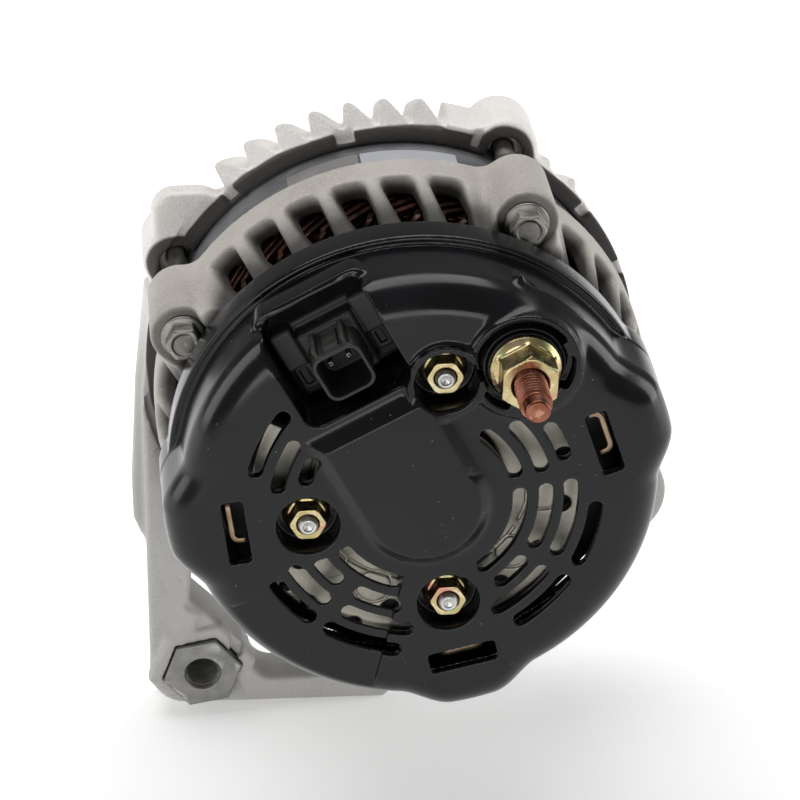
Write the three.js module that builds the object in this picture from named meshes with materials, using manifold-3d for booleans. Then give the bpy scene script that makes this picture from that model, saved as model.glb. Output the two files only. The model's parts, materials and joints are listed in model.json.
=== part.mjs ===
// A car alternator as an assembly of separate pieces, in millimetres.
//
// Y is the rotor's axis: the plastic rear cover faces -Y and the pulley +Y. +Z is up. Angles lie in
// the XZ plane and run from +X towards +Z. Stations along Y are counted from the front edge of the
// rear cover's skirt, and the finished group is shifted so that the shaft's pulley end is the origin.

import * as THREE from 'three';
import { mergeVertices } from 'three/addons/utils/BufferGeometryUtils.js';
import Module from 'manifold-3d';

const wasm = await Module();
wasm.setup();

// ---------------------------------------------------------------- driving dimensions

const GAP = 0.3; // between neighbouring pieces
const SHAFT_END = 124;

// Round bodies have few sides, because finer shapes are left to the visual model. Small ones keep the
// defaults of the helpers below, and those that are seen or that carry a mount state more.
const FACETS = 32; // sides of the large housings, eight to each quarter turn

const COVER_RADIUS = 58.6;
const SKIRT_RADIUS = 61;
const SKIRT_BACK = 9;
const COVER_FACE = -22.4;
const COVER_WALL = 2.4;
const COVER_ROUND = 9;
const LOBE_HEIGHT = 4.4;
const LEAD_ANGLES = [187, 282.4, 18.3];
const LEAD_RADIUS = 46;
const LEAD_WINDOW = { width: 5.4, length: 17 };
const LOW_SECTOR = { inner: 21, outer: 50, from: 210.5, to: 256.5, depth: 1.2 };

const SLOT_WIDTH = 3.3;
const SLOT_ROWS = [23.4, 29.8, 35.9, 42.2];

const BRUSH_ANGLE = 27.6;
const PAD = { halfWidth: 17, top: 29.5, radius: 17, height: 3, slope: 2 };
const PLUG_WELL = { halfWidth: 14, bottom: 31.5, top: 57.5, wall: 1.8, lip: -10.5, end: -4 };
const PLUG = { halfWidth: 7, bottom: 35.2, top: 49.8, wall: 1.5, floor: -10 };

const B_TERMINAL = { x: 23.7, z: 36.9, boss: 13.5, bore: 10.2, lip: -24, nutFace: -32.9, tip: -46 };
const COVER_STUDS = [
  { x: -28.2, z: -4.6, face: COVER_FACE },
  { x: 6.1, z: -28.6, face: COVER_FACE },
  { x: 5, z: 33.8, face: COVER_FACE - 1.8 },
];
const NUT_POCKET = { radius: 7.7, wall: 1.6, floor: -15.3, floorThickness: 2 };
const STUD = { radius: 2.5, clearance: 2.9, tip: -23, end: 9 };

const BOLT_RADIUS = 62.8;
const BOLT_ANGLES = [62.5, 152.5, 242.5, 332.5];
const BOLT = { shank: 2.5, flange: 5.6, flats: 8, seat: 16, head: 10.4, end: 76 };
const BOLT_CLEARANCE = BOLT.shank + GAP + 0.2;

const STATOR = { outer: 60.1, inner: 51.3, rear: 34.5, front: 62.5, slots: 18 };
const STATOR_SLOT = { width: 3.2, depth: 5.8 };
const CROWNS = { rear: 19, front: 75.6 }; // the far ends of the winding
const REAR_RIM = { radius: 63.5, end: 40 };
const FRONT_RIM = { radius: 64.4, start: 57, end: 60 };

const FIN = { root: 57.2, thickness: 3.6, start: 58.2, shoulder: 63.5, foot: 61, end: 78 };
const FIN_TIPS = [
  { tip: 66.8, angles: [44, 52, 136] },
  { tip: 71.3, angles: [83.3, 91, 98.6, 106.3, 113.9, 121.6, 129.2] },
];

const ARM = { front: 53, back: 67, left: -66.6, bottom: -105.6 };
const BUSH = { x: -53.4, z: -94.1, flats: 19, turn: 9.5, bore: 4.7, front: 50, back: 68.5 };
const EAR = { x: 61.5, z: -49.5, radius: 14.5, bore: 5.2, front: 60, back: 74 };
const RETAINER_SCREWS = { radius: 27.4, angles: [45, 135, 225, 315], clearance: 2.3 };

const ROTOR = { radius: 49.8, rear: 33.5, front: 63.5, fingers: 8, hub: 40, plate: 9.5, shaft: 9.2 };
const FAN = { radius: 46, blades: 9, thickness: 1.2 };
const REAR_BEARING = { bore: 7.5, outer: 17.5, start: 2.5, end: 13.5, balls: 6, ball: 2.9 };
const FRONT_BEARING = { bore: 8.5, outer: 23.5, start: 75.8, end: 89.8, balls: 6, ball: 4 };
const SLIP_RINGS = [{ from: -18.6, to: -11.2 }, { from: -8.8, to: -1.4 }];
const SLIP_RADIUS = 8;
const PULLEY = { radius: 29, start: 95.3, end: 118, grooves: 6, pitch: 3.56, depth: 3, web: 107.8 };
const PULLEY_NUT = { flats: 24, height: 11, thread: 7.9 };
const HEATSINK = { from: -12.9, to: -9.9, inner: 20.5, outer: 41.5 };
const CRESCENT = { from: 152, to: 410 }; // the angles that the rectifier plates span

// ---------------------------------------------------------------- finishes

const finish = (color, roughness, metalness) =>
  new THREE.MeshStandardMaterial({ color, roughness, metalness });

const FINISH = {
  castAluminium: finish(0xc2beb8, 0.55, 0.75),
  coverPlastic: finish(0x2b2e31, 0.38, 0),
  blackPlastic: finish(0x1c1c1d, 0.5, 0),
  plugPlastic: finish(0x4a4843, 0.5, 0),
  laminations: finish(0x3a3734, 0.6, 0.7),
  copper: finish(0xa2562f, 0.4, 0.9),
  copperStud: finish(0xb0745c, 0.45, 0.85),
  zincYellow: finish(0xc9ab66, 0.35, 0.9),
  steel: finish(0x9a9a98, 0.35, 0.9),
  darkSteel: finish(0x5d5b58, 0.5, 0.85),
  plate: finish(0xb7b2a4, 0.45, 0.85),
  carbon: finish(0x2a2a2a, 0.7, 0.2),
};

// ---------------------------------------------------------------- solids

const radians = THREE.MathUtils.degToRad;

function polar(radius, degrees) {
  return new THREE.Vector2(radius * Math.cos(radians(degrees)), radius * Math.sin(radians(degrees)));
}

// A closed three.js geometry becomes a manifold solid, its faces turned to point out.
function solid(geometry) {
  geometry.deleteAttribute('normal');
  geometry.deleteAttribute('uv');
  const merged = mergeVertices(geometry, 1e-4);
  const corners = merged.attributes.position;
  const index = merged.index.array;
  const kept = [];
  const [a, b, c] = [new THREE.Vector3(), new THREE.Vector3(), new THREE.Vector3()];
  let volume = 0;
  for (let i = 0; i < index.length; i += 3) {
    const [p, q, r] = [index[i], index[i + 1], index[i + 2]];
    if (p === q || q === r || r === p) continue;
    kept.push(p, q, r);
    a.fromBufferAttribute(corners, p);
    b.fromBufferAttribute(corners, q);
    c.fromBufferAttribute(corners, r);
    volume += a.dot(b.cross(c));
  }
  const triVerts = new Uint32Array(volume < 0 ? kept.reverse() : kept);
  const vertProperties = new Float32Array(corners.array);
  return new wasm.Manifold(new wasm.Mesh({ numProp: 3, vertProperties, triVerts }));
}

function toGeometry(body) {
  const mesh = body.getMesh();
  const geometry = new THREE.BufferGeometry();
  geometry.setAttribute('position', new THREE.BufferAttribute(new Float32Array(mesh.vertProperties), 3));
  geometry.setIndex(new THREE.BufferAttribute(new Uint32Array(mesh.triVerts), 1));
  geometry.computeVertexNormals();
  return geometry;
}

const join = (...bodies) => bodies.reduce((whole, body) => whole.add(body));
const cut = (whole, ...tools) => tools.reduce((left, tool) => left.subtract(tool), whole);

// A body of revolution about Y from a closed list of [radius, station] corners.
function turned(profile, segments = 14) {
  const closed = [...profile, profile[0]];
  const onAxis = profile[0][0] === 0 && profile[profile.length - 1][0] === 0;
  const points = (onAxis ? profile : closed).map(([radius, y]) => new THREE.Vector2(radius, y));
  return solid(new THREE.LatheGeometry(points, segments));
}

const rod = (radius, from, to, segments = 12) =>
  turned([[0, from], [radius, from], [radius, to], [0, to]], segments);

const ring = (inner, outer, from, to, segments = 16) =>
  turned([[inner, from], [outer, from], [outer, to], [inner, to]], segments);

// A shape drawn in X and Z, extruded along Y from one station to another.
function plate(shape, from, to, { bevel = 0, bevelSegments = 1, curveSegments = 2 } = {}) {
  const geometry = new THREE.ExtrudeGeometry(shape, {
    depth: to - from - 2 * bevel,
    curveSegments,
    bevelEnabled: bevel > 0,
    bevelThickness: bevel,
    bevelSize: bevel,
    bevelOffset: -bevel,
    bevelSegments,
  });
  geometry.rotateX(Math.PI / 2);
  geometry.translate(0, to - bevel, 0);
  return solid(geometry);
}

function box(x0, x1, y0, y1, z0, z1) {
  const geometry = new THREE.BoxGeometry(x1 - x0, y1 - y0, z1 - z0);
  geometry.translate((x0 + x1) / 2, (y0 + y1) / 2, (z0 + z1) / 2);
  return solid(geometry);
}

// A hexagonal prism along Y, its first corner turned from +X by an angle.
function hexagon(flats, from, to, turn = 0) {
  const geometry = new THREE.CylinderGeometry(flats / Math.sqrt(3), flats / Math.sqrt(3), to - from, 6);
  geometry.rotateY(radians(90 - turn));
  geometry.translate(0, (from + to) / 2, 0);
  return solid(geometry);
}

function tube(path, radius, steps, sides = 6) {
  const section = new THREE.Shape();
  for (let i = 0; i < sides; i++) {
    const corner = polar(radius, (360 * i) / sides);
    if (i === 0) section.moveTo(corner.x, corner.y);
    else section.lineTo(corner.x, corner.y);
  }
  section.closePath();
  return solid(new THREE.ExtrudeGeometry(section, { steps, extrudePath: path, bevelEnabled: false }));
}

const at = (body, x, z) => body.translate([x, 0, z]);
const turn = (body, degrees) => body.rotate([0, -degrees, 0]);
const atBolts = (body) => BOLT_ANGLES.map((angle) => turn(at(body, BOLT_RADIUS, 0), angle));
const around = (body, count, first = 0) =>
  Array.from({ length: count }, (_, i) => turn(body, first + (360 * i) / count));

function roundedBox(x0, x1, z0, z1, corner) {
  const shape = new THREE.Shape();
  shape.absarc(x1 - corner, z1 - corner, corner, 0, Math.PI / 2, false);
  shape.absarc(x0 + corner, z1 - corner, corner, Math.PI / 2, Math.PI, false);
  shape.absarc(x0 + corner, z0 + corner, corner, Math.PI, 1.5 * Math.PI, false);
  shape.absarc(x1 - corner, z0 + corner, corner, 1.5 * Math.PI, 2 * Math.PI, false);
  shape.closePath();
  return shape;
}

// A band between two radii and two angles; round ends when it is a slot.
function band(inner, outer, from, to, roundEnds = false) {
  const [start, end] = [radians(from), radians(to)];
  const shape = new THREE.Shape();
  shape.absarc(0, 0, outer, start, end, false);
  const middle = (inner + outer) / 2;
  const half = (outer - inner) / 2;
  if (roundEnds) {
    const tip = polar(middle, to);
    shape.absarc(tip.x, tip.y, half, end, end + Math.PI, false);
  }
  shape.absarc(0, 0, inner, end, start, true);
  if (roundEnds) {
    const tip = polar(middle, from);
    shape.absarc(tip.x, tip.y, half, start + Math.PI, start + 2 * Math.PI, false);
  }
  shape.closePath();
  return shape;
}

function disc(x, z, radius) {
  const shape = new THREE.Shape();
  shape.absarc(x, z, radius, 0, 2 * Math.PI, false);
  return shape;
}

function polygon(corners) {
  return new THREE.Shape(corners.map(([x, z]) => new THREE.Vector2(x, z)));
}

// ---------------------------------------------------------------- assembly

const alternator = new THREE.Group();
alternator.name = 'alternator';
alternator.position.y = -SHAFT_END;

// Local X and Z of this group run across and along the brushes.
const brushFrame = new THREE.Group();
brushFrame.rotation.y = -radians(BRUSH_ANGLE);
alternator.add(brushFrame);

function piece(name, body, material, { x = 0, y = 0, z = 0, parent = alternator } = {}) {
  const mesh = new THREE.Mesh(toGeometry(body), material);
  mesh.name = name;
  mesh.position.set(x, y, z);
  parent.add(mesh);
  return mesh;
}

// ---------------------------------------------------------------- rear cover

// The cover is round, with a lobe over each stator lead.
function coverOutline(radius, steps = 40) {
  const shape = new THREE.Shape();
  for (let i = 0; i < steps; i++) {
    const angle = (360 * i) / steps;
    const reach = LEAD_ANGLES.map((lead) => {
      const away = Math.abs(((angle - lead + 540) % 360) - 180);
      return 1 - THREE.MathUtils.smoothstep(away, 6, 15);
    });
    const grown = COVER_RADIUS + LOBE_HEIGHT * Math.max(...reach) + Math.min(radius - COVER_RADIUS, 0);
    const corner = polar(Math.max(radius, grown), angle);
    if (i === 0) shape.moveTo(corner.x, corner.y);
    else shape.lineTo(corner.x, corner.y);
  }
  shape.closePath();
  return shape;
}

function padOutline(grow) {
  const { halfWidth, top, radius } = PAD;
  const shape = new THREE.Shape();
  shape.moveTo(halfWidth + grow, 0);
  shape.lineTo(halfWidth + grow, top + grow);
  shape.lineTo(-halfWidth - grow, top + grow);
  shape.lineTo(-halfWidth - grow, 0);
  shape.absarc(0, 0, radius + grow, Math.PI, 2 * Math.PI, false);
  shape.closePath();
  return shape;
}

// Each slot's row, first angle and last angle.
const SLOTS = [
  [0, 20, 50], [1, 18, 42], [2, 20, 32],
  [0, 309, 363], [1, 336, 364], [2, 336, 365], [3, 335, 355],
  [1, 310, 323], [2, 301, 324], [3, 305, 325],
  [0, 216, 252], [1, 213, 224], [2, 209, 227], [3, 211, 228],
  [1, 239, 256], [2, 239, 263], [3, 237, 260],
  [1, 155, 163], [2, 151, 169], [3, 143, 164],
];

function rearCover() {
  const beyond = 30;
  const inside = box(-80, 80, COVER_FACE - beyond, SKIRT_BACK, -80, 80);
  const dome = plate(coverOutline(COVER_RADIUS), COVER_FACE, SKIRT_BACK + COVER_ROUND, {
    bevel: COVER_ROUND,
    bevelSegments: 2,
  }).intersect(inside);
  const skirt = plate(coverOutline(SKIRT_RADIUS), 0, SKIRT_BACK);
  const padSlab = plate(padOutline(0), COVER_FACE - PAD.height, COVER_FACE + PAD.height, {
    bevel: PAD.slope,
  });
  const bossEnd = -13.8;
  const boss = at(rod(B_TERMINAL.boss, B_TERMINAL.lip, bossEnd, 24), B_TERMINAL.x, B_TERMINAL.z);
  const fairingShape = new THREE.CylinderGeometry(1.5, 9.5, 15, 10);
  fairingShape.rotateX(Math.PI / 2);
  fairingShape.translate(B_TERMINAL.x, -12.5, 46.5);
  const collar = at(rod(9.4, COVER_STUDS[2].face, COVER_FACE + 1, 16), COVER_STUDS[2].x, COVER_STUDS[2].z);

  const innerFace = COVER_FACE + COVER_WALL;
  const cavity = join(
    plate(coverOutline(COVER_RADIUS - COVER_WALL), innerFace, SKIRT_BACK + 10, { bevel: 7 }),
    rod(SKIRT_RADIUS - 2, 2, SKIRT_BACK + 1, FACETS),
    turn(plate(padOutline(-4), innerFace - PAD.height + 0.5, innerFace + 1), BRUSH_ANGLE),
  );
  const pad = turn(padSlab, BRUSH_ANGLE);
  let cover = join(dome, skirt, pad, boss, solid(fairingShape), collar).subtract(cavity);

  // The walls of the plug well and the cups under the nuts stand inside the shell.
  const { halfWidth, bottom, top, wall, lip, end } = PLUG_WELL;
  const wellOutside = roundedBox(-halfWidth - wall, halfWidth + wall, bottom - wall, top + wall, 5);
  const wellWalls = turn(plate(wellOutside, lip, end), BRUSH_ANGLE)
    .add(turn(plate(wellOutside, COVER_FACE, lip + 1), BRUSH_ANGLE).intersect(dome));
  const bossWall = at(ring(B_TERMINAL.bore, B_TERMINAL.boss, B_TERMINAL.lip, bossEnd, 24),
    B_TERMINAL.x, B_TERMINAL.z);
  const cupRadius = NUT_POCKET.radius + NUT_POCKET.wall;
  const cupEnd = NUT_POCKET.floor + NUT_POCKET.floorThickness;
  const cups = COVER_STUDS.map(({ x, z, face }) => at(rod(cupRadius, face, cupEnd, 14), x, z));
  cover = join(cover, wellWalls, bossWall, ...cups);

  const wellInside = roundedBox(-halfWidth, halfWidth, bottom, top, 4);
  const well = turn(plate(wellInside, COVER_FACE - beyond, end + 0.1), BRUSH_ANGLE);
  const pockets = COVER_STUDS.flatMap(({ x, z, face }) => [
    at(rod(NUT_POCKET.radius, face - beyond, NUT_POCKET.floor, 16), x, z),
    at(rod(STUD.clearance, face, 0, 8), x, z),
  ]);
  const terminalBore = at(rod(B_TERMINAL.bore, COVER_FACE - beyond, 0, 24), B_TERMINAL.x, B_TERMINAL.z);
  const [across, along] = [LEAD_WINDOW.width / 2, LEAD_WINDOW.length / 2];
  const [outside, within] = [COVER_FACE - 2, innerFace + 3];
  const window = box(LEAD_RADIUS - across, LEAD_RADIUS + across, outside, within, -along, along);
  const windows = LEAD_ANGLES.map((angle) => turn(window, angle));
  const slots = SLOTS.map(([row, from, to]) => plate(
    band(SLOT_ROWS[row] - SLOT_WIDTH / 2, SLOT_ROWS[row] + SLOT_WIDTH / 2, from, to, true),
    COVER_FACE - 2, innerFace + 1, { curveSegments: 1 }));
  const sectorShape = band(LOW_SECTOR.inner, LOW_SECTOR.outer, LOW_SECTOR.from, LOW_SECTOR.to);
  const lowSector = plate(sectorShape, COVER_FACE - 2, COVER_FACE + LOW_SECTOR.depth, { curveSegments: 4 });
  return cut(cover, well, ...pockets, terminalBore, ...windows, ...slots, lowSector);
}

piece('rear_cover', rearCover(), FINISH.coverPlastic);

// ---------------------------------------------------------------- terminals and cover fasteners

function insulator() {
  return turned([[4.4, -23.4], [9.2, -23.4], [9.9, -22.6], [9.9, -13.2], [4.4, -13.2]], 18);
}

function terminalNut() {
  const flange = turned([[0, -23.7], [8.75, -23.7], [8.75, -24.9], [7, -26.2], [0, -26.2]], 14);
  const { nutFace } = B_TERMINAL;
  const chamfer = turned([[0, nutFace], [6.9, nutFace], [7.6, nutFace + 1], [7.6, -25], [0, -25]]);
  const hex = hexagon(13, nutFace, -25, 28).intersect(chamfer);
  return cut(join(flange, hex), rod(4.3, -40, -20, 12));
}

const terminalStud = turned([
  [0, B_TERMINAL.tip], [2.9, B_TERMINAL.tip], [3.35, -45.4], [3.35, -42.8], [4, -42.1], [4, -9.6],
  [8, -9.6], [8, -8.9], [0, -8.9],
]);

piece('b_terminal_insulator', insulator(), FINISH.blackPlastic, { x: B_TERMINAL.x, z: B_TERMINAL.z });
piece('b_terminal_nut', terminalNut(), FINISH.zincYellow, { x: B_TERMINAL.x, z: B_TERMINAL.z });
piece('b_terminal_stud', terminalStud, FINISH.copperStud, { x: B_TERMINAL.x, z: B_TERMINAL.z });

const nutSeat = NUT_POCKET.floor - GAP;
const coverNut = cut(
  join(
    turned([[0, nutSeat], [5.9, nutSeat], [5.9, nutSeat - 0.9], [4.8, nutSeat - 1.8], [0, nutSeat - 1.8]]),
    hexagon(8, nutSeat - 6, nutSeat - 1, 0),
  ),
  rod(2.8, nutSeat - 8, nutSeat + 1, 10),
);
const stud = turned([
  [0, STUD.tip + 0.4], [1, STUD.tip], [1.7, STUD.tip], [STUD.radius, STUD.tip + 0.8],
  [STUD.radius, STUD.end], [0, STUD.end],
], 10);
COVER_STUDS.forEach(({ x, z }, i) => {
  piece(`cover_nut_${i + 1}`, coverNut, FINISH.zincYellow, { x, z });
  piece(`cover_stud_${i + 1}`, stud, FINISH.steel, { x, z });
});

// ---------------------------------------------------------------- rectifier, regulator and brushes

const studHoles = COVER_STUDS.map(({ x, z }) => at(rod(STUD.clearance, -30, 20, 8), x, z));

function heatsinkPositive() {
  const { from, to, inner, outer } = HEATSINK;
  const crescent = plate(band(inner, outer, CRESCENT.from, CRESCENT.to), from, to, { curveSegments: 9 });
  const ear = plate(disc(B_TERMINAL.x, B_TERMINAL.z, 9), from, to, { curveSegments: 8 });
  const bridge = turn(box(34, 42, from, to, -6, 6), 51);
  const diodeHoles = [214, 236, 258, 304, 326, 348, 10].map((angle) => {
    const spot = polar(36, angle);
    return at(rod(2.3, from - 1, to + 1, 8), spot.x, spot.y);
  });
  const terminalHole = at(rod(4.3, from - 1, to + 1, 20), B_TERMINAL.x, B_TERMINAL.z);
  return cut(join(crescent, ear, bridge), ...studHoles, ...diodeHoles, terminalHole);
}

function crescentPlate(inner, outer, from, to) {
  const terminalClearance = at(rod(9.2, from - 1, to + 1, 20), B_TERMINAL.x, B_TERMINAL.z);
  const crescent = plate(band(inner, outer, CRESCENT.from, CRESCENT.to), from, to, { curveSegments: 9 });
  return cut(crescent, ...studHoles, terminalClearance);
}

piece('heatsink_positive', heatsinkPositive(), FINISH.plate);
piece('terminal_plate', crescentPlate(22.5, 49, -8.6, -5.4), FINISH.blackPlastic);
piece('heatsink_negative', crescentPlate(24, 52, -3, 1), FINISH.plate);

// The bent end of each stator lead stands up behind its window in the cover.
function leadLoop() {
  const [low, high, half] = [-8.9, -17.6, 5.6];
  const path = new THREE.CatmullRomCurve3([
    new THREE.Vector3(0, low, -half),
    new THREE.Vector3(0, high + 2.5, -half),
    new THREE.Vector3(0, high, -half + 2.5),
    new THREE.Vector3(0, high, half - 2.5),
    new THREE.Vector3(0, high + 2.5, half),
    new THREE.Vector3(0, low, half),
  ], false, 'catmullrom', 0.3);
  return tube(path, 1, 10);
}

LEAD_ANGLES.forEach((angle, i) => {
  piece(`stator_lead_${i + 1}`, turn(leadLoop().translate([LEAD_RADIUS, 0, 0]), angle), FINISH.copper);
});

function regulator() {
  const { halfWidth, bottom, top, wall, floor } = PLUG;
  const block = plate(roundedBox(-13, 13, 33, 53, 3), -8, 3);
  const shroud = plate(roundedBox(-halfWidth, halfWidth, bottom, top, 3), COVER_FACE, -7);
  const mouth = plate(roundedBox(-halfWidth + wall, halfWidth - wall, bottom + wall, top - wall, 2.2),
    COVER_FACE - 1, floor);
  const rib = box(-0.8, 0.8, -19.5, -7.5, top - 0.5, top + 1.8);
  const pinHoles = [-2.4, 2.4].map((x) => box(x - 0.8, x + 0.8, floor - 1, -6.4, 41.7, 43.3));
  return cut(join(block, shroud, rib.translate([-4, 0, 0]), rib.translate([4, 0, 0])), mouth, ...pinHoles);
}

piece('voltage_regulator', regulator(), FINISH.plugPlastic, { parent: brushFrame });
[-2.4, 2.4].forEach((x, i) => {
  const pin = box(-0.5, 0.5, -17.5, -6.8, -0.5, 0.5);
  piece(`connector_pin_${i + 1}`, pin, FINISH.steel, { x, z: 42.5, parent: brushFrame });
});

const BRUSH = { half: 2.3, thickness: 6, inner: SLIP_RADIUS + GAP, outer: 17.8 };
const brushStations = SLIP_RINGS.map(({ from, to }) => (from + to) / 2);

function brushHolder() {
  const body = box(-8, 8, -19.6, -0.4, 10.5, 29.2);
  const across = BRUSH.half + GAP;
  const along = BRUSH.thickness / 2 + GAP;
  const channels = brushStations.map((y) => box(-across, across, y - along, y + along, 9, 27.9));
  return cut(body, ...channels);
}

class SpringCurve extends THREE.Curve {
  constructor(radius, from, to, turns) {
    super();
    Object.assign(this, { radius, from, to, turns });
  }

  getPoint(t, target = new THREE.Vector3()) {
    const angle = 2 * Math.PI * this.turns * t;
    const along = THREE.MathUtils.lerp(this.from, this.to, t);
    return target.set(this.radius * Math.cos(angle), this.radius * Math.sin(angle), along);
  }
}

piece('brush_holder', brushHolder(), FINISH.blackPlastic, { parent: brushFrame });
brushStations.forEach((y, i) => {
  const { half, thickness, inner, outer } = BRUSH;
  const brush = box(-half, half, -thickness / 2, thickness / 2, inner, outer);
  const coil = tube(new SpringCurve(1.6, BRUSH.outer + 0.7, 27.2, 4.5), 0.28, 36, 4);
  piece(`brush_${i + 1}`, brush, FINISH.carbon, { y, parent: brushFrame });
  piece(`brush_spring_${i + 1}`, coil, FINISH.steel, { y, parent: brushFrame });
});

// ---------------------------------------------------------------- rear housing

function rearHousing() {
  const { radius, end } = REAR_RIM;
  const shell = turned([
    [20, 6], [54, 6], [58.4, 9.6], [radius, 31], [radius, end], [60.5, end], [60.5, 34.1], [57.6, 34.1],
    [57.6, 20], [52, 9.5], [20, 9.5],
  ], FACETS);
  const ears = atBolts(rod(8.3, 12.5, end, 12));
  const webs = BOLT_ANGLES.map((angle) => turn(box(56, BOLT_RADIUS, 15, end, -8, 8), angle));
  const hollow = turned([
    [0, 9.5], [52, 9.5], [57.6, 20], [57.6, 34.1], [60.5, 34.1], [60.5, end + 5], [0, end + 5],
  ], FACETS);
  const drum = cut(join(turn(shell, BOLT_ANGLES[0]), ...ears, ...webs), turn(hollow, BOLT_ANGLES[0]));

  // Vents wrap over the shoulder between the ears, one to a facet, and the end wall is open around the hub.
  const vents = BOLT_ANGLES.flatMap((angle) => [1.5, 2.5, 3.5, 4.5, 5.5, 6.5].map((facet) =>
    turn(box(55, 66, 7, 30, -3.9, 3.9), angle + (360 / FACETS) * facet)));
  const wallOpenings = Array.from({ length: 5 }, (_, i) =>
    plate(band(26, 48, 72 * i + 16, 72 * i + 68), 5, 10, { curveSegments: 2 }));
  const boltHoles = [
    ...atBolts(rod(BOLT_CLEARANCE, 10, 45, 8)),
    ...atBolts(rod(BOLT.flange + 1, 10, BOLT.seat, 12)),
  ];
  const spokes = COVER_STUDS.map(({ x, z }) =>
    turn(box(20, 50, 6.5, 9.3, -5, 5), THREE.MathUtils.radToDeg(Math.atan2(z, x))));
  const bearingSeat = turned([
    [13.5, 0], [21.5, 0], [21.5, 14.6], [17.8, 14.6], [17.8, 2.2], [13.5, 2.2],
  ], 20);
  const open = cut(drum, ...vents, ...wallOpenings, rod(20.5, 5, 11, 20));
  return cut(join(open, bearingSeat, ...spokes), ...boltHoles, ...studHoles);
}

piece('rear_housing', rearHousing(), FINISH.castAluminium);

// ---------------------------------------------------------------- stator

// Each slot is in the middle of a facet of the core.
const FIRST_SLOT = 90 / STATOR.slots;

function statorCore() {
  const { outer, inner, rear, front, slots } = STATOR;
  const { width, depth } = STATOR_SLOT;
  const slot = box(inner - 2, inner + depth, rear - 1, front + 1, -width / 2, width / 2);
  return cut(ring(inner, outer, rear, front, 2 * slots), ...around(slot, slots, FIRST_SLOT));
}

function statorWinding() {
  const { inner, rear, front, slots } = STATOR;
  const [low, high] = [inner + 0.7, inner + STATOR_SLOT.depth - 0.4];
  const half = STATOR_SLOT.width / 2 - GAP;
  const rearCrown = ring(low, high, CROWNS.rear, rear - GAP, 2 * slots);
  const frontCrown = ring(low, high, front + GAP, CROWNS.front, 2 * slots);
  const bar = box(low + 0.2, high - 0.2, rear - 1, front + 1, -half, half);
  return join(rearCrown, frontCrown, ...around(bar, slots, FIRST_SLOT));
}

piece('stator_core', statorCore(), FINISH.laminations);
piece('stator_winding', statorWinding(), FINISH.copper);

// ---------------------------------------------------------------- front housing with its mounting arm

function armBody() {
  const { front, back, left, bottom } = ARM;
  const outline = new THREE.Shape();
  outline.moveTo(-50, 24);
  outline.lineTo(-62.5, 22);
  outline.lineTo(left, -12);
  outline.lineTo(left - 1, bottom + 12);
  outline.absarc(left + 9, bottom + 10, 10, Math.PI, 1.5 * Math.PI, false);
  outline.lineTo(-3, bottom - 1.6);
  outline.lineTo(3.2, bottom + 5);
  outline.lineTo(2, -50);
  outline.closePath();
  const window = new THREE.Shape();
  window.moveTo(-55, -60);
  window.lineTo(-56.2, -71.5);
  window.lineTo(-42, -87);
  window.lineTo(-40.2, -93);
  window.absarc(-33.5, -92.5, 6.5, Math.PI, 1.5 * Math.PI, false);
  window.absarc(-19, -92.5, 6.5, 1.5 * Math.PI, 2 * Math.PI, false);
  window.lineTo(-12.5, -50);
  window.closePath();
  const rim = polygon([
    [-58, 17], [-64.5, 17], [-68, -12], [-70.3, -43], [-70.3, -52], [-68.5, -57], [-66, -60], [-58, -60],
  ]);
  return cut(plate(outline, front, back, { curveSegments: 4 }), plate(window, front - 1, back + 1))
    .add(plate(rim, back - 2, back + 8));
}

const retainerHoles = RETAINER_SCREWS.angles.map((angle) =>
  turn(at(rod(RETAINER_SCREWS.clearance, 70, 82, 8), RETAINER_SCREWS.radius, 0), angle));

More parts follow.
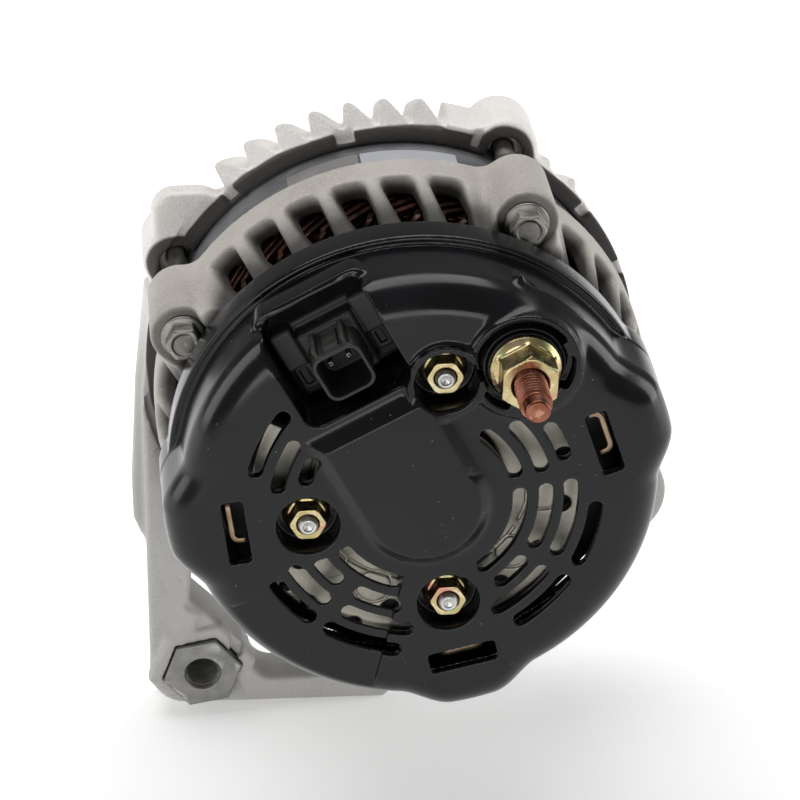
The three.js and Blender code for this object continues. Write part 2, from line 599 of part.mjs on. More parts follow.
function frontHousing() {
  const { radius, start, end } = FRONT_RIM;
  const shell = turned([
    [60.5, start], [radius, start], [radius, end], [61.8, 67], [59.7, 74], [57.6, 79], [52, 85], [40, 87],
    [28, 88], [28, 84], [40, 83.5], [51, 81], [57.2, 76], [57.2, 62.8], [60.5, 62.8],
  ], FACETS);
  const hollow = turned([
    [0, 40], [60.5, 40], [60.5, 62.8], [57.2, 62.8], [57.2, 76], [51, 81], [40, 83.5], [28, 84],
    [28, 96], [0, 96],
  ], FACETS);
  const bearingSeat = turned([
    [23.8, 75.5], [31, 75.5], [31, 88], [30, 94], [19, 94], [19, 90.2], [23.8, 90.2],
  ], 20);
  const fins = FIN_TIPS.flatMap(({ tip, angles }) => {
    const outline = polygon([
      [FIN.root, FIN.start], [tip, FIN.start], [tip, FIN.shoulder],
      [FIN.foot, FIN.end], [FIN.root, FIN.end],
    ]);
    const fin = new THREE.ExtrudeGeometry(outline, { depth: FIN.thickness, bevelEnabled: false });
    fin.translate(0, 0, -FIN.thickness / 2);
    return angles.map((angle) => turn(solid(fin.clone()), angle));
  });
  const ears = atBolts(rod(8.6, start, 75, 12));
  const cornerLug = plate(roundedBox(-62, -44, 16, 48, 6), start, start + 7, { curveSegments: 2 });
  const mountEar = at(rod(EAR.radius, EAR.front, EAR.back, 20), EAR.x, EAR.z);
  const mountWeb = plate(polygon([[55, -28], [71.5, -36], [EAR.x, -63], [38, -56]]), EAR.front, EAR.back);
  const body = join(shell, ...fins, ...ears, cornerLug, mountEar, mountWeb, armBody()).subtract(hollow);

  // The arm stands behind the rim, clear of the stator and of the rear housing.
  const clearance = rod(REAR_RIM.radius + 3.2, 40, start, FACETS);
  const frontVents = Array.from({ length: 12 }, (_, i) =>
    plate(band(36, 52, 30 * i + 5, 30 * i + 25), 78, 90, { curveSegments: 1 }));
  const keyholes = [
    ...atBolts(rod(4.6, start - 1, start + 4, 10)),
    ...atBolts(rod(BOLT_CLEARANCE, start - 1, 78, 8)),
  ];
  const bushPocket = at(hexagon(BUSH.flats + 2 * GAP, 40, 90, BUSH.turn), BUSH.x, BUSH.z);
  const earBore = at(rod(EAR.bore, 50, 80, 16), EAR.x, EAR.z);
  const vented = join(cut(body, clearance, ...frontVents), bearingSeat);
  return cut(vented, ...keyholes, ...retainerHoles, bushPocket, earBore);
}

piece('front_housing', frontHousing(), FINISH.castAluminium);

const bush = cut(hexagon(BUSH.flats, BUSH.front, BUSH.back, BUSH.turn), rod(BUSH.bore, 40, 90, 18));
piece('mounting_bush', bush, FINISH.steel, { x: BUSH.x, z: BUSH.z });

const flangeBack = BOLT.seat - GAP;
const throughBolt = join(
  turned([[0, flangeBack], [BOLT.flange, flangeBack], [BOLT.flange, 14.6], [4.6, 13.8], [0, 13.8]]),
  hexagon(BOLT.flats, BOLT.head, 14, 0),
  rod(BOLT.shank, 15, BOLT.end, 8),
);
BOLT_ANGLES.forEach((angle, i) => {
  const spot = polar(BOLT_RADIUS, angle);
  piece(`through_bolt_${i + 1}`, throughBolt, FINISH.darkSteel, { x: spot.x, z: spot.y });
});

// ---------------------------------------------------------------- bearings

function bearing(name, { bore, outer, start, end, balls, ball }) {
  const pitch = (bore + outer) / 2;
  const race = (outer - bore) * 0.24;
  const middle = (start + end) / 2;
  const reach = ball + GAP;
  const grooved = (radius, shoulder, floor) => turned([
    [radius, start], [shoulder, start], [shoulder, middle - reach], [floor, middle - reach],
    [floor, middle + reach], [shoulder, middle + reach], [shoulder, end], [radius, end],
  ], 16);
  piece(`${name}_outer_race`, grooved(outer, outer - race, pitch + reach), FINISH.steel);
  piece(`${name}_inner_race`, grooved(bore + GAP, bore + race, pitch - reach), FINISH.steel);
  const sphere = new THREE.SphereGeometry(ball, 6, 4);
  sphere.translate(pitch, middle, 0);
  const cage = ring(pitch - 0.9, pitch + 0.9, middle - 1.1, middle + 1.1, 12);
  piece(`${name}_balls`, join(cage, ...around(solid(sphere), balls)), FINISH.steel);
}

bearing('rear_bearing', REAR_BEARING);
bearing('front_bearing', FRONT_BEARING);

piece('bearing_retainer', cut(ring(17, 31, 73, 75.2, 24), ...retainerHoles), FINISH.steel);
const retainerScrew = join(rod(3.8, 71, 73 - GAP, 10), rod(2, 72, 80.5, 8));
RETAINER_SCREWS.angles.forEach((angle, i) => {
  const spot = polar(RETAINER_SCREWS.radius, angle);
  piece(`retainer_screw_${i + 1}`, retainerScrew, FINISH.darkSteel, { x: spot.x, z: spot.y });
});

// ---------------------------------------------------------------- rotor

const shaft = turned([
  [0, -20], [4.2, -20], [4.2, 1.4], [REAR_BEARING.bore, 1.4], [REAR_BEARING.bore, 14],
  [ROTOR.shaft, 14.4], [ROTOR.shaft, 75.4], [FRONT_BEARING.bore, 75.6], [FRONT_BEARING.bore, 107],
  [PULLEY_NUT.thread, 107.6], [PULLEY_NUT.thread, 123], [7, SHAFT_END], [0, SHAFT_END],
]);
piece('rotor_shaft', shaft, FINISH.steel);

const insulatorTube = ring(4.5, 6.6, -19.6, 1.1, 20);
piece('slip_ring_insulator', insulatorTube, FINISH.blackPlastic);
SLIP_RINGS.forEach(({ from, to }, i) => {
  piece(`slip_ring_${i + 1}`, ring(6.9, SLIP_RADIUS, from, to, 20), FINISH.copper);
});

// A claw pole: a hub plate with tapering fingers that reach over the coil to the other side.
function clawPole() {
  const length = ROTOR.front - ROTOR.rear;
  const thick = 6.2; // radially, at a finger
  const reach = length - 3.2;
  const hub = ring(ROTOR.shaft + GAP, ROTOR.hub, 0, ROTOR.plate, 16);
  const taper = polygon([
    [-7.6, 0], [7.6, 0], [7.2, ROTOR.plate], [3, reach], [-3, reach], [-7.2, ROTOR.plate],
  ]);
  const finger = new THREE.ExtrudeGeometry(taper, { depth: thick, bevelEnabled: false });
  finger.translate(0, 0, ROTOR.radius - thick);
  const root = box(-7.5, 7.5, 0, ROTOR.plate, ROTOR.hub - 4, ROTOR.radius - 3);
  return join(hub, ...around(join(solid(finger), root), ROTOR.fingers));
}

const halfPitch = 180 / ROTOR.fingers;
const frontClaw = turn(clawPole().rotate([180, 0, 0]), halfPitch).translate([0, ROTOR.front, 0]);
piece('pole_claw_rear', clawPole().translate([0, ROTOR.rear, 0]), FINISH.darkSteel);
piece('pole_claw_front', frontClaw, FINISH.darkSteel);

const coilStart = ROTOR.rear + ROTOR.plate + GAP;
const coilEnd = ROTOR.front - ROTOR.plate - GAP;
const bobbinCore = 20;
piece('field_bobbin', turned([
  [9.5, coilStart], [ROTOR.hub, coilStart], [ROTOR.hub, coilStart + 1], [bobbinCore, coilStart + 1],
  [bobbinCore, coilEnd - 1], [ROTOR.hub, coilEnd - 1], [ROTOR.hub, coilEnd], [9.5, coilEnd],
], 20), FINISH.blackPlastic);
const fieldCoil = ring(bobbinCore + GAP, ROTOR.hub - 1, coilStart + 1 + GAP, coilEnd - 1 - GAP, 20);
piece('field_coil', fieldCoil, FINISH.copper);

// Each blade is a thin arc that stands on the disc.
function fan(from, to) {
  const blade = new THREE.Shape();
  blade.absarc(36, -14, 17, radians(95), radians(150), false);
  blade.absarc(36, -14, 15.4, radians(150), radians(95), true);
  blade.closePath();
  const discPlate = ring(ROTOR.shaft + GAP, FAN.radius, from, from + FAN.thickness, 20);
  const standing = plate(blade, from + 0.2, to, { curveSegments: 1 });
  return join(discPlate, ...around(standing, FAN.blades));
}

const rearFan = fan(0, 8.5).rotate([180, 0, 0]).translate([0, ROTOR.rear - GAP, 0]);
const frontFan = fan(ROTOR.front + GAP, ROTOR.front + 7);
piece('fan_rear', rearFan, FINISH.steel);
piece('fan_front', frontFan, FINISH.steel);

// ---------------------------------------------------------------- pulley

function pulley() {
  const { radius, start, end, grooves, pitch, depth, web } = PULLEY;
  const first = (start + end) / 2 - (pitch * grooves) / 2;
  const vees = Array.from({ length: grooves }, (_, i) => [
    [radius - 1 - depth, first + pitch * (i + 0.5)],
    [radius - 1, first + pitch * (i + 1)],
  ]).flat();
  return turned([
    [FRONT_BEARING.bore + GAP, start], [radius - 1.5, start], [radius, first - 0.6], ...vees,
    [radius, end - 0.4], [21.5, end], [20, web], [FRONT_BEARING.bore + GAP, web],
  ], 24);
}

piece('pulley', pulley(), FINISH.darkSteel);

const spacerEnds = [FRONT_BEARING.end + GAP, PULLEY.start - GAP];
piece('pulley_spacer', ring(FRONT_BEARING.bore + GAP, 12.5, ...spacerEnds), FINISH.steel);

function pulleyNut() {
  const start = PULLEY.web + GAP;
  const end = start + PULLEY_NUT.height;
  const corner = PULLEY_NUT.flats / Math.sqrt(3);
  const chamfer = turned([
    [0, start], [corner - 0.7, start], [corner, start + 1], [corner, end - 1.4], [corner - 1.9, end],
    [0, end],
  ]);
  const threadHole = rod(PULLEY_NUT.thread + GAP, start - 1, end + 1, 18);
  return cut(hexagon(PULLEY_NUT.flats, start, end).intersect(chamfer), threadHole);
}

piece('pulley_nut', pulleyNut(), FINISH.steel);

export default alternator;
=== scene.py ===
import json
import math

import bpy
import numpy as np
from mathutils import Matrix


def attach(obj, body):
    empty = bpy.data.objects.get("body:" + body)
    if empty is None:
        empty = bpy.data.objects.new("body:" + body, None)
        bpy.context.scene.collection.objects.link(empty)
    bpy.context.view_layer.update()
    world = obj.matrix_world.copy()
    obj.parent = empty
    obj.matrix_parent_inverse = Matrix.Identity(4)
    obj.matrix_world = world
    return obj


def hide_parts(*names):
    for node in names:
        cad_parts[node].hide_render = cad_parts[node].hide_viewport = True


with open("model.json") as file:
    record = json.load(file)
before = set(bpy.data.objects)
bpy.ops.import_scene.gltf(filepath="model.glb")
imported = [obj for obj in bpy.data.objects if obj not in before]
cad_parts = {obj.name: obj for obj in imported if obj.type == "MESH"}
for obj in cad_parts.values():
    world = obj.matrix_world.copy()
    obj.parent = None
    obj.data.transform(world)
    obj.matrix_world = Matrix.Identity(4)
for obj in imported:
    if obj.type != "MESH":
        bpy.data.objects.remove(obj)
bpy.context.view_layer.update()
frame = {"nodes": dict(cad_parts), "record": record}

import openvdb
from mathutils import Matrix, Vector

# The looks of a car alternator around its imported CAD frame.
#
# Shapes are written in millimetres. x and z are the row's own, and s is a station along the rotor's axis,
# counted from the front edge of the rear cover's skirt towards the pulley. Angles run from +x towards +z.

SHAFT_END = 124.0
TILT = math.radians(27.6)  # of the plug, the brushes and the pad on the cover
FAR = 1e3

# ------------------------------------------------------------------ camera, light and floor

ELEVATION, AZIMUTH = math.radians(28.7), math.radians(-5.7376)
RIGHT = Vector((math.cos(AZIMUTH), math.sin(AZIMUTH), 0))
BACK = Vector((math.sin(AZIMUTH) * math.cos(ELEVATION), -math.cos(AZIMUTH) * math.cos(ELEVATION),
               math.sin(ELEVATION)))
UP = BACK.cross(RIGHT)


def add_camera():
    camera = bpy.data.objects.new("camera", bpy.data.cameras.new("camera"))
    camera.data.lens = 135
    camera.data.sensor_width = 36
    camera.data.clip_start = 0.01
    place = RIGHT * -0.00366 + UP * 0.01448 + BACK * 0.74471 + Vector((0, -SHAFT_END / 1000, 0))
    camera.matrix_world = Matrix((
        (RIGHT.x, UP.x, BACK.x, place.x), (RIGHT.y, UP.y, BACK.y, place.y), (RIGHT.z, UP.z, BACK.z, place.z),
        (0, 0, 0, 1)))
    bpy.context.scene.collection.objects.link(camera)
    bpy.context.scene.camera = camera


def add_light(name, place, target, size, power):
    light = bpy.data.lights.new(name, "AREA")
    light.shape = "RECTANGLE"
    light.size, light.size_y = size
    light.energy = power
    lamp = bpy.data.objects.new(name, light)
    lamp.location = place
    lamp.rotation_euler = (Vector(target) - Vector(place)).to_track_quat("-Z", "Y").to_euler()
    bpy.context.scene.collection.objects.link(lamp)


add_camera()
add_light("light_above", (-0.1, 0.35, 1.4), (0, -0.08, 0), (1.9, 0.9), 19)
add_light("light_left", (-1.15, 0.0, 0.35), (0, -0.08, 0), (0.6, 0.8), 4.5)
add_light("light_right", (1.15, 0.0, 0.25), (0, -0.08, 0), (0.6, 0.8), 6)
add_light("light_front", (-0.3, -1.6, 0.12), (0, -0.08, -0.02), (1.6, 0.35), 6.5)

world = bpy.data.worlds.new("studio")
world.use_nodes = True
world.node_tree.nodes["Background"].inputs[0].default_value = (1, 1, 1, 1)
world.node_tree.nodes["Background"].inputs[1].default_value = 0.2
bpy.context.scene.world = world
bpy.context.scene.view_settings.view_transform = "Standard"

# ------------------------------------------------------------------ materials


class Nodes:
    """Makes a material's nodes and links, one short call each."""

    def __init__(self, name):
        self.material = bpy.data.materials.new(name)
        self.material.use_nodes = True
        self.tree = self.material.node_tree
        self.surface = self.tree.nodes["Principled BSDF"]
        self.place = self.node("ShaderNodeTexCoord").outputs["Object"]

    def node(self, kind, **settings):
        made = self.tree.nodes.new(kind)
        for key, value in settings.items():
            setattr(made, key, value)
        return made

    def link(self, value, socket):
        if isinstance(value, bpy.types.NodeSocket):
            self.tree.links.new(value, socket)
        else:
            socket.default_value = value

    def math(self, operation, a, b=0.0, clamp=False):
        made = self.node("ShaderNodeMath", operation=operation, use_clamp=clamp)
        self.link(a, made.inputs[0])
        self.link(b, made.inputs[1])
        return made.outputs[0]

    def noise(self, scale, detail=3.0, rough=0.5, place=None, distortion=0.0):
        made = self.node("ShaderNodeTexNoise")
        self.link(place or self.place, made.inputs["Vector"])
        made.inputs["Scale"].default_value = scale
        made.inputs["Detail"].default_value = detail
        made.inputs["Roughness"].default_value = rough
        made.inputs["Distortion"].default_value = distortion
        return made.outputs["Fac"]

    def cells(self, scale, feature="F1"):
        made = self.node("ShaderNodeTexVoronoi", feature=feature)
        self.link(self.place, made.inputs["Vector"])
        made.inputs["Scale"].default_value = scale
        return made.outputs["Distance"]

    def between(self, value, low, high, to_low=0.0, to_high=1.0):
        made = self.node("ShaderNodeMapRange", interpolation_type="SMOOTHSTEP")
        self.link(value, made.inputs["Value"])
        for socket, number in zip(("From Min", "From Max", "To Min", "To Max"), (low, high, to_low, to_high)):
            made.inputs[socket].default_value = number
        return made.outputs["Result"]

    def mix(self, share, a, b):
        made = self.node("ShaderNodeMix", data_type="RGBA")
        self.link(share, made.inputs["Factor"])
        self.link((*a, 1) if isinstance(a, tuple) else a, made.inputs["A"])
        self.link((*b, 1) if isinstance(b, tuple) else b, made.inputs["B"])
        return made.outputs["Result"]

    def length(self, a, b):
        return self.math("SQRT", self.math("ADD", self.math("MULTIPLY", a, a), self.math("MULTIPLY", b, b)))

    def axis(self, name):
        made = self.node("ShaderNodeSeparateXYZ")
        self.link(self.place, made.inputs[0])
        return made.outputs[name]

    def edges(self, low=0.5, high=0.6):
        return self.between(self.node("ShaderNodeNewGeometry").outputs["Pointiness"], low, high)

    def bump(self, height, strength, distance):
        made = self.node("ShaderNodeBump")
        self.link(height, made.inputs["Height"])
        made.inputs["Strength"].default_value = strength
        made.inputs["Distance"].default_value = distance
        self.link(made.outputs[0], self.surface.inputs["Normal"])

    def finish(self, color, rough, metal=0.0, ior=1.45):
        self.link((*color, 1) if isinstance(color, tuple) else color, self.surface.inputs["Base Color"])
        self.link(rough, self.surface.inputs["Roughness"])
        self.surface.inputs["Metallic"].default_value = metal
        self.surface.inputs["IOR"].default_value = ior
        return self.material


def bolt_distance(n, radius):
    """How far a point is, seen along the rotor's axis, from the nearest of the four through bolts."""
    turn = n.math("ARCTAN2", n.axis("Z"), n.axis("X"))
    even = n.math("PINGPONG", n.math("ADD", turn, math.radians(360 - 62.5)), math.pi / 4)
    return n.length(n.math("SUBTRACT", n.math("MULTIPLY", radius, n.math("COSINE", even)), 0.0628),
                    n.math("MULTIPLY", radius, n.math("SINE", even)))


def front_grime_and_shade(n):
    """Grime and painted shade on the front housing's face towards the stator, and painted shade in the recess beside
    the stator; returns their mask and the mask of the arm, which is darker towards the bottom, partly in its own
    duller tone and partly as painted shade.
    """
    ragged = n.math("MULTIPLY", n.noise(60, 2), 0.0016)
    # Grime and painted shade on the face towards the stator, inside a radius and round the bolts.
    beside = n.between(n.math("ADD", n.axis("Y"), ragged), GRIME_AND_SHADE_PLANE, GRIME_AND_SHADE_PLANE + 0.0008, 1, 0)
    radius = n.length(n.axis("X"), n.axis("Z"))
    inside = n.between(n.math("ADD", radius, ragged), 0.0655, 0.0662, 1, 0)
    near_bolt = n.between(n.math("ADD", bolt_distance(n, radius), ragged), 0.0082, 0.0092, 1, 0)
    # Painted shade in the recess beside the stator.
    recess = n.math("MULTIPLY", n.between(radius, 0.0608, 0.0616, 1, 0),
                    n.between(n.axis("Y"), GRIME_AND_SHADE_PLANE + 0.004, GRIME_AND_SHADE_PLANE + 0.006, 1, 0))
    face = n.math("MULTIPLY", beside, n.math("MAXIMUM", inside, near_bolt))
    # The arm's mask: darker towards the bottom, partly its duller tone, partly painted shade.
    return n.math("MAXIMUM", face, recess), n.between(n.axis("Z"), -0.012, 0.022, 0.55, 0.0)


def rear_grime_and_shade(n):
    """Painted shade and grime inside the vents and round the bolt heads of the rear housing."""
    radius = n.length(n.axis("X"), n.axis("Z"))
    ragged = n.math("MULTIPLY", n.noise(90, 3), 0.002)
    # Painted shade darkening the vents towards the inside, with some brown grime.
    vents = n.between(n.math("ADD", radius, ragged), 0.0606, 0.0643, 1, 0)
    # Grime and painted shade round the bolt heads.
    pocket = n.between(n.math("ADD", bolt_distance(n, radius), ragged), 0.0078, 0.0098, 0.6, 0)
    behind = n.between(n.axis("Y"), BOLT_SEAT, BOLT_SEAT + 0.002, 1, 0)
    return n.math("MAXIMUM", vents, n.math("MULTIPLY", pocket, behind)), 0.0


def cast_aluminium(name, bright, dark, grime_and_shade):
    """Fine-grained casting with worn edges, hollows darkened partly as grime and partly as painted shade, and grime
    with painted shade where the first mask says; the second mask darkens the arm.
    """
    n = Nodes(name)
    grain = n.noise(2600, 2, 0.6)
    blotch = n.noise(38, 4, 0.6)
    color = n.mix(n.between(blotch, 0.3, 0.7), dark, bright)
    color = n.mix(n.between(grain, 0.35, 0.75), color, tuple(min(1.0, c * 1.12) for c in bright))
    # Hollows darkened to a brown: partly grime, partly painted shade.
    hollow = n.between(n.node("ShaderNodeNewGeometry").outputs["Pointiness"], 0.40, 0.495, 1.0, 0.0)
    color = n.mix(n.math("MULTIPLY", hollow, 0.55), color, (0.16, 0.145, 0.125))
    color = n.mix(n.math("MULTIPLY", n.edges(0.52, 0.62), 0.35), color, (0.78, 0.76, 0.73))
    # Masks of grime with painted shade, and of the arm's darker tone with painted shade.
    grime_and_shade_mask, arm_tone_and_shade = grime_and_shade(n)
    # The arm darkened towards the bottom: partly its own tone, partly painted shade.
    color = n.mix(arm_tone_and_shade, color, (0.16, 0.165, 0.15))
    # Near-black grime and painted shade where the first mask says.
    color = n.mix(n.math("MULTIPLY", grime_and_shade_mask, 0.94), color, (0.022, 0.019, 0.016))
    height = n.math("ADD", n.math("MULTIPLY", grain, 0.6), n.noise(700, 3, 0.6))
    n.bump(height, 0.5, 0.00012)
    return n.finish(color, n.between(blotch, 0.2, 0.8, 0.58, 0.7), 0.2)


def moulded(name, dark, bright, rough, grain=1400, relief=0.25, dust=0.0, ior=1.45):
    n = Nodes(name)
    blotch = n.noise(55, 3, 0.55)
    fine = n.noise(grain, 2, 0.5)
    color = n.mix(n.between(blotch, 0.3, 0.7), dark, bright)
    color = n.mix(n.math("MULTIPLY", n.edges(0.52, 0.6), 0.35), color, tuple(c * 3 + 0.02 for c in bright))
    if dust:
        specks = n.between(n.cells(420), 0.05, 0.11, 1.0, 0.0)
        sparse = n.between(n.noise(90, 2), 0.56, 0.66)
        color = n.mix(n.math("MULTIPLY", n.math("MULTIPLY", specks, sparse), dust), color, (0.4, 0.4, 0.42))
    n.bump(n.math("ADD", fine, n.math("MULTIPLY", n.noise(120, 2), 0.5)), relief, 0.00003)
    return n.finish(color, n.between(blotch, 0.25, 0.75, rough - 0.05, rough + 0.07), ior=ior)


def metal(name, dark, bright, rough, scratch=260, wear=(0.85, 0.84, 0.82), relief=0.3):
    n = Nodes(name)
    blotch = n.noise(150, 3, 0.6)
    fine = n.noise(scratch * 12, 2, 0.6)
    color = n.mix(n.between(blotch, 0.32, 0.68), dark, bright)
    color = n.mix(n.math("MULTIPLY", n.edges(0.52, 0.62), 0.5), color, wear)
    # Hollows darkened: painted shade.
    hollow = n.between(n.node("ShaderNodeNewGeometry").outputs["Pointiness"], 0.40, 0.49, 0.6, 0.0)
    color = n.mix(hollow, color, tuple(c * 0.25 for c in dark))
    n.bump(fine, relief, 0.00004)
    return n.finish(color, n.between(blotch, 0.2, 0.8, rough - 0.06, rough + 0.1), 1.0)


def zinc_yellow(name):
    """Yellow passivation: gold with pink and green clouds."""
    n = Nodes(name)
    cloud = n.noise(170, 3, 0.6, distortion=1.2)
    other = n.noise(120, 2, 0.5, distortion=0.8)
    color = n.mix(n.between(cloud, 0.35, 0.65), (0.46, 0.36, 0.17), (0.62, 0.52, 0.30))
    color = n.mix(n.between(other, 0.54, 0.68, 0.0, 0.8), color, (0.60, 0.25, 0.20))
    color = n.mix(n.between(other, 0.30, 0.44, 0.75, 0.0), color, (0.26, 0.36, 0.14))
    color = n.mix(n.math("MULTIPLY", n.edges(0.52, 0.6), 0.6), color, (0.80, 0.72, 0.50))
    n.bump(n.noise(2200, 2), 0.2, 0.00003)
    return n.finish(color, n.between(cloud, 0.2, 0.8, 0.2, 0.36), 1.0)


def copper_wire(name):
    n = Nodes(name)
    cloud = n.noise(240, 3, 0.6)
    # The copper is kept very dark to paint the shade the winding lies in; its lighter orange-brown edges are painted
    # highlights.
    color = n.mix(n.between(cloud, 0.35, 0.65), (0.010, 0.005, 0.004), (0.075, 0.026, 0.014))
    color = n.mix(n.math("MULTIPLY", n.edges(0.52, 0.62), 0.5), color, (0.28, 0.10, 0.045))
    n.bump(n.noise(900, 2), 0.3, 0.00005)
    return n.finish(color, n.between(cloud, 0.2, 0.8, 0.28, 0.45), 0.75)


def laminated(name):
    """Stacked steel sheets: fine lines across the rotor's axis."""
    n = Nodes(name)
    sheets = n.node("ShaderNodeTexWave", wave_type="BANDS", bands_direction="Y")
    n.link(n.place, sheets.inputs["Vector"])
    sheets.inputs["Scale"].default_value = 320
    sheets.inputs["Distortion"].default_value = 0.6
    blotch = n.noise(45, 4, 0.65)
    color = n.mix(n.between(blotch, 0.35, 0.65), (0.19, 0.19, 0.195), (0.32, 0.325, 0.34))
    color = n.mix(n.math("MULTIPLY", sheets.outputs["Fac"], 0.3), color, (0.05, 0.05, 0.05))
    n.bump(sheets.outputs["Fac"], 0.5, 0.00008)
    return n.finish(color, n.between(blotch, 0.2, 0.8, 0.4, 0.6), 0.6)


def paper_label(name, color):
    n = Nodes(name)
    cloud = n.noise(80, 3)
    shade = n.mix(n.between(cloud, 0.3, 0.7), color, tuple(c * 0.86 for c in color))
    n.bump(n.noise(600, 2), 0.15, 0.00004)
    return n.finish(shade, 0.35, 0.25)


def flat_floor():
    n = Nodes("studio_floor")
    shade = n.mix(n.noise(3, 2), (0.90, 0.90, 0.90), (0.93, 0.93, 0.93))
    n.surface.inputs["Emission Color"].default_value = (1, 1, 1, 1)
    n.surface.inputs["Emission Strength"].default_value = 0.28
    return n.finish(shade, 0.65)


# The plane where the front housing's grime and painted shade stop; the bolt seat bounds the grime and painted shade in
# the rear pockets.
GRIME_AND_SHADE_PLANE = (58.4 - SHAFT_END) / 1000
BOLT_SEAT = (18.0 - SHAFT_END) / 1000

MATERIAL = {
    "rear_casting": cast_aluminium("rear_casting", (0.47, 0.445, 0.41), (0.35, 0.33, 0.295), rear_grime_and_shade),
    "front_casting": cast_aluminium("front_casting", (0.80, 0.77, 0.745), (0.66, 0.635, 0.61), front_grime_and_shade),
    "cover_plastic": moulded("cover_plastic", (0.0030, 0.0033, 0.0040), (0.0048, 0.0053, 0.0064), 0.17, dust=0.3, ior=1.38),
    "black_plastic": moulded("black_plastic", (0.008, 0.008, 0.009), (0.014, 0.014, 0.015), 0.4),
    "plug_plastic": moulded("plug_plastic", (0.013, 0.0125, 0.011), (0.022, 0.021, 0.019), 0.5, grain=900, relief=0.4),
    "laminations": laminated("laminations"),
    "copper": copper_wire("copper"),
    "lead_wire": metal("lead_wire", (0.26, 0.18, 0.12), (0.42, 0.32, 0.22), 0.35, wear=(0.6, 0.5, 0.4)),
    "copper_stud": metal("copper_stud", (0.19, 0.065, 0.038), (0.36, 0.15, 0.095), 0.3, wear=(0.75, 0.42, 0.30)),
    "zinc_yellow": zinc_yellow("zinc_yellow"),
    "steel": metal("steel", (0.40, 0.40, 0.39), (0.60, 0.60, 0.585), 0.3),
    "dark_steel": metal("dark_steel", (0.15, 0.145, 0.135), (0.27, 0.26, 0.245), 0.42, wear=(0.55, 0.54, 0.52)),
    "bolt_steel": metal("bolt_steel", (0.22, 0.215, 0.195), (0.34, 0.33, 0.30), 0.42, wear=(0.6, 0.59, 0.56)),
    "bush_steel": metal("bush_steel", (0.20, 0.198, 0.19), (0.29, 0.285, 0.275), 0.45, wear=(0.6, 0.59, 0.57)),
    "plate": metal("plate", (0.46, 0.435, 0.37), (0.62, 0.59, 0.51), 0.42, relief=0.5),
    "carbon": moulded("carbon", (0.012, 0.012, 0.012), (0.03, 0.03, 0.03), 0.6, grain=1800, relief=0.5),
    "label": paper_label("label", (0.52, 0.53, 0.56)),
    "dark_label": paper_label("dark_label", (0.26, 0.25, 0.25)),
    "floor": flat_floor(),
}

# ------------------------------------------------------------------ distance fields


def smooth_min(a, b, k):
    lowest = np.minimum(a, b)
    if k <= 0:
        return lowest
    h = np.maximum(k - np.abs(a - b), 0) / k
    return lowest - h * h * (k / 4)


def polygon_distance(points, u, v):
    """Signed distance to a closed polygon, negative inside."""
    nearest, sign = FAR * FAR, 1.0
    for (ax, ay), (bx, by) in zip(points, [points[-1], *points[:-1]]):
        ex, ey = bx - ax, by - ay
        wx, wy = u - ax, v - ay
        t = np.clip((wx * ex + wy * ey) / (ex * ex + ey * ey), 0, 1)
        nearest = np.minimum(nearest, (wx - ex * t) ** 2 + (wy - ey * t) ** 2)
        above, below, left = v >= ay, v < by, ex * wy > ey * wx
        sign = np.where((above & below & left) | (~above & ~below & ~left), -sign, sign)
    return sign * np.sqrt(nearest)


class Shape:
    """A distance function of (x, s, z) with the box it lies in: (x0, x1, s0, s1, z0, z1)."""

    def __init__(self, distance, box):
        self.distance = distance
        self.box = box

    def turned(self, degrees):
        """The same shape turned about the rotor's axis."""
        c, n = math.cos(math.radians(degrees)), math.sin(math.radians(degrees))
        x0, x1, s0, s1, z0, z1 = self.box
        corners = [(x * c - z * n, x * n + z * c) for x in (x0, x1) for z in (z0, z1)]
        xs, zs = [p[0] for p in corners], [p[1] for p in corners]
        inner = self.distance
        return Shape(lambda x, s, z: inner(x * c + z * n, s, z * c - x * n),
                     (min(xs), max(xs), s0, s1, min(zs), max(zs)))


class Field:
    """A solid as signed distances on a grid."""

    def __init__(self, low, high, cell):
        self.low, self.cell = np.array(low, float), cell
        counts = [int(math.ceil((b - a) / cell)) + 1 for a, b in zip(low, high)]
        self.axes = [(a + cell * np.arange(n)).astype(np.float32) for a, n in zip(low, counts)]
        self.values = np.full(counts, FAR, np.float32)

    def _change(self, shape, k, keep):
        box = shape.box
        reach = k + 3 * self.cell
        spans = [slice(*np.searchsorted(axis, (box[2 * i] - reach, box[2 * i + 1] + reach)))
                 for i, axis in enumerate(self.axes)]
        if any(span.start >= span.stop for span in spans):
            return
        x, s, z = (axis[span] for axis, span in zip(self.axes, spans))
        distance = shape.distance(x[:, None, None], s[None, :, None], z[None, None, :])
        part = self.values[tuple(spans)]
        self.values[tuple(spans)] = keep(part, distance.astype(np.float32), k)

    def add(self, *shapes, k=0.0):
        for shape in shapes:
            self._change(shape, k, smooth_min)
        return self

    def cut(self, *shapes, k=0.0):
        for shape in shapes:
            self._change(shape, k, lambda part, distance, k: -smooth_min(-part, distance, k))
        return self

    def surface(self):
        """Corners in mm and faces with four corners each."""
        band = 3 * self.cell
        grid = openvdb.FloatGrid(band)
        grid.copyFromArray(np.clip(self.values, -band, band))
        corners, faces = grid.convertToQuads(0.0)
        return corners * self.cell + self.low, faces[:, ::-1]


# Outlines are distance functions of (x, z) with a flat box.

def circle(x0, z0, radius):
    return (lambda x, z: np.hypot(x - x0, z - z0) - radius,
            (x0 - radius, x0 + radius, z0 - radius, z0 + radius))


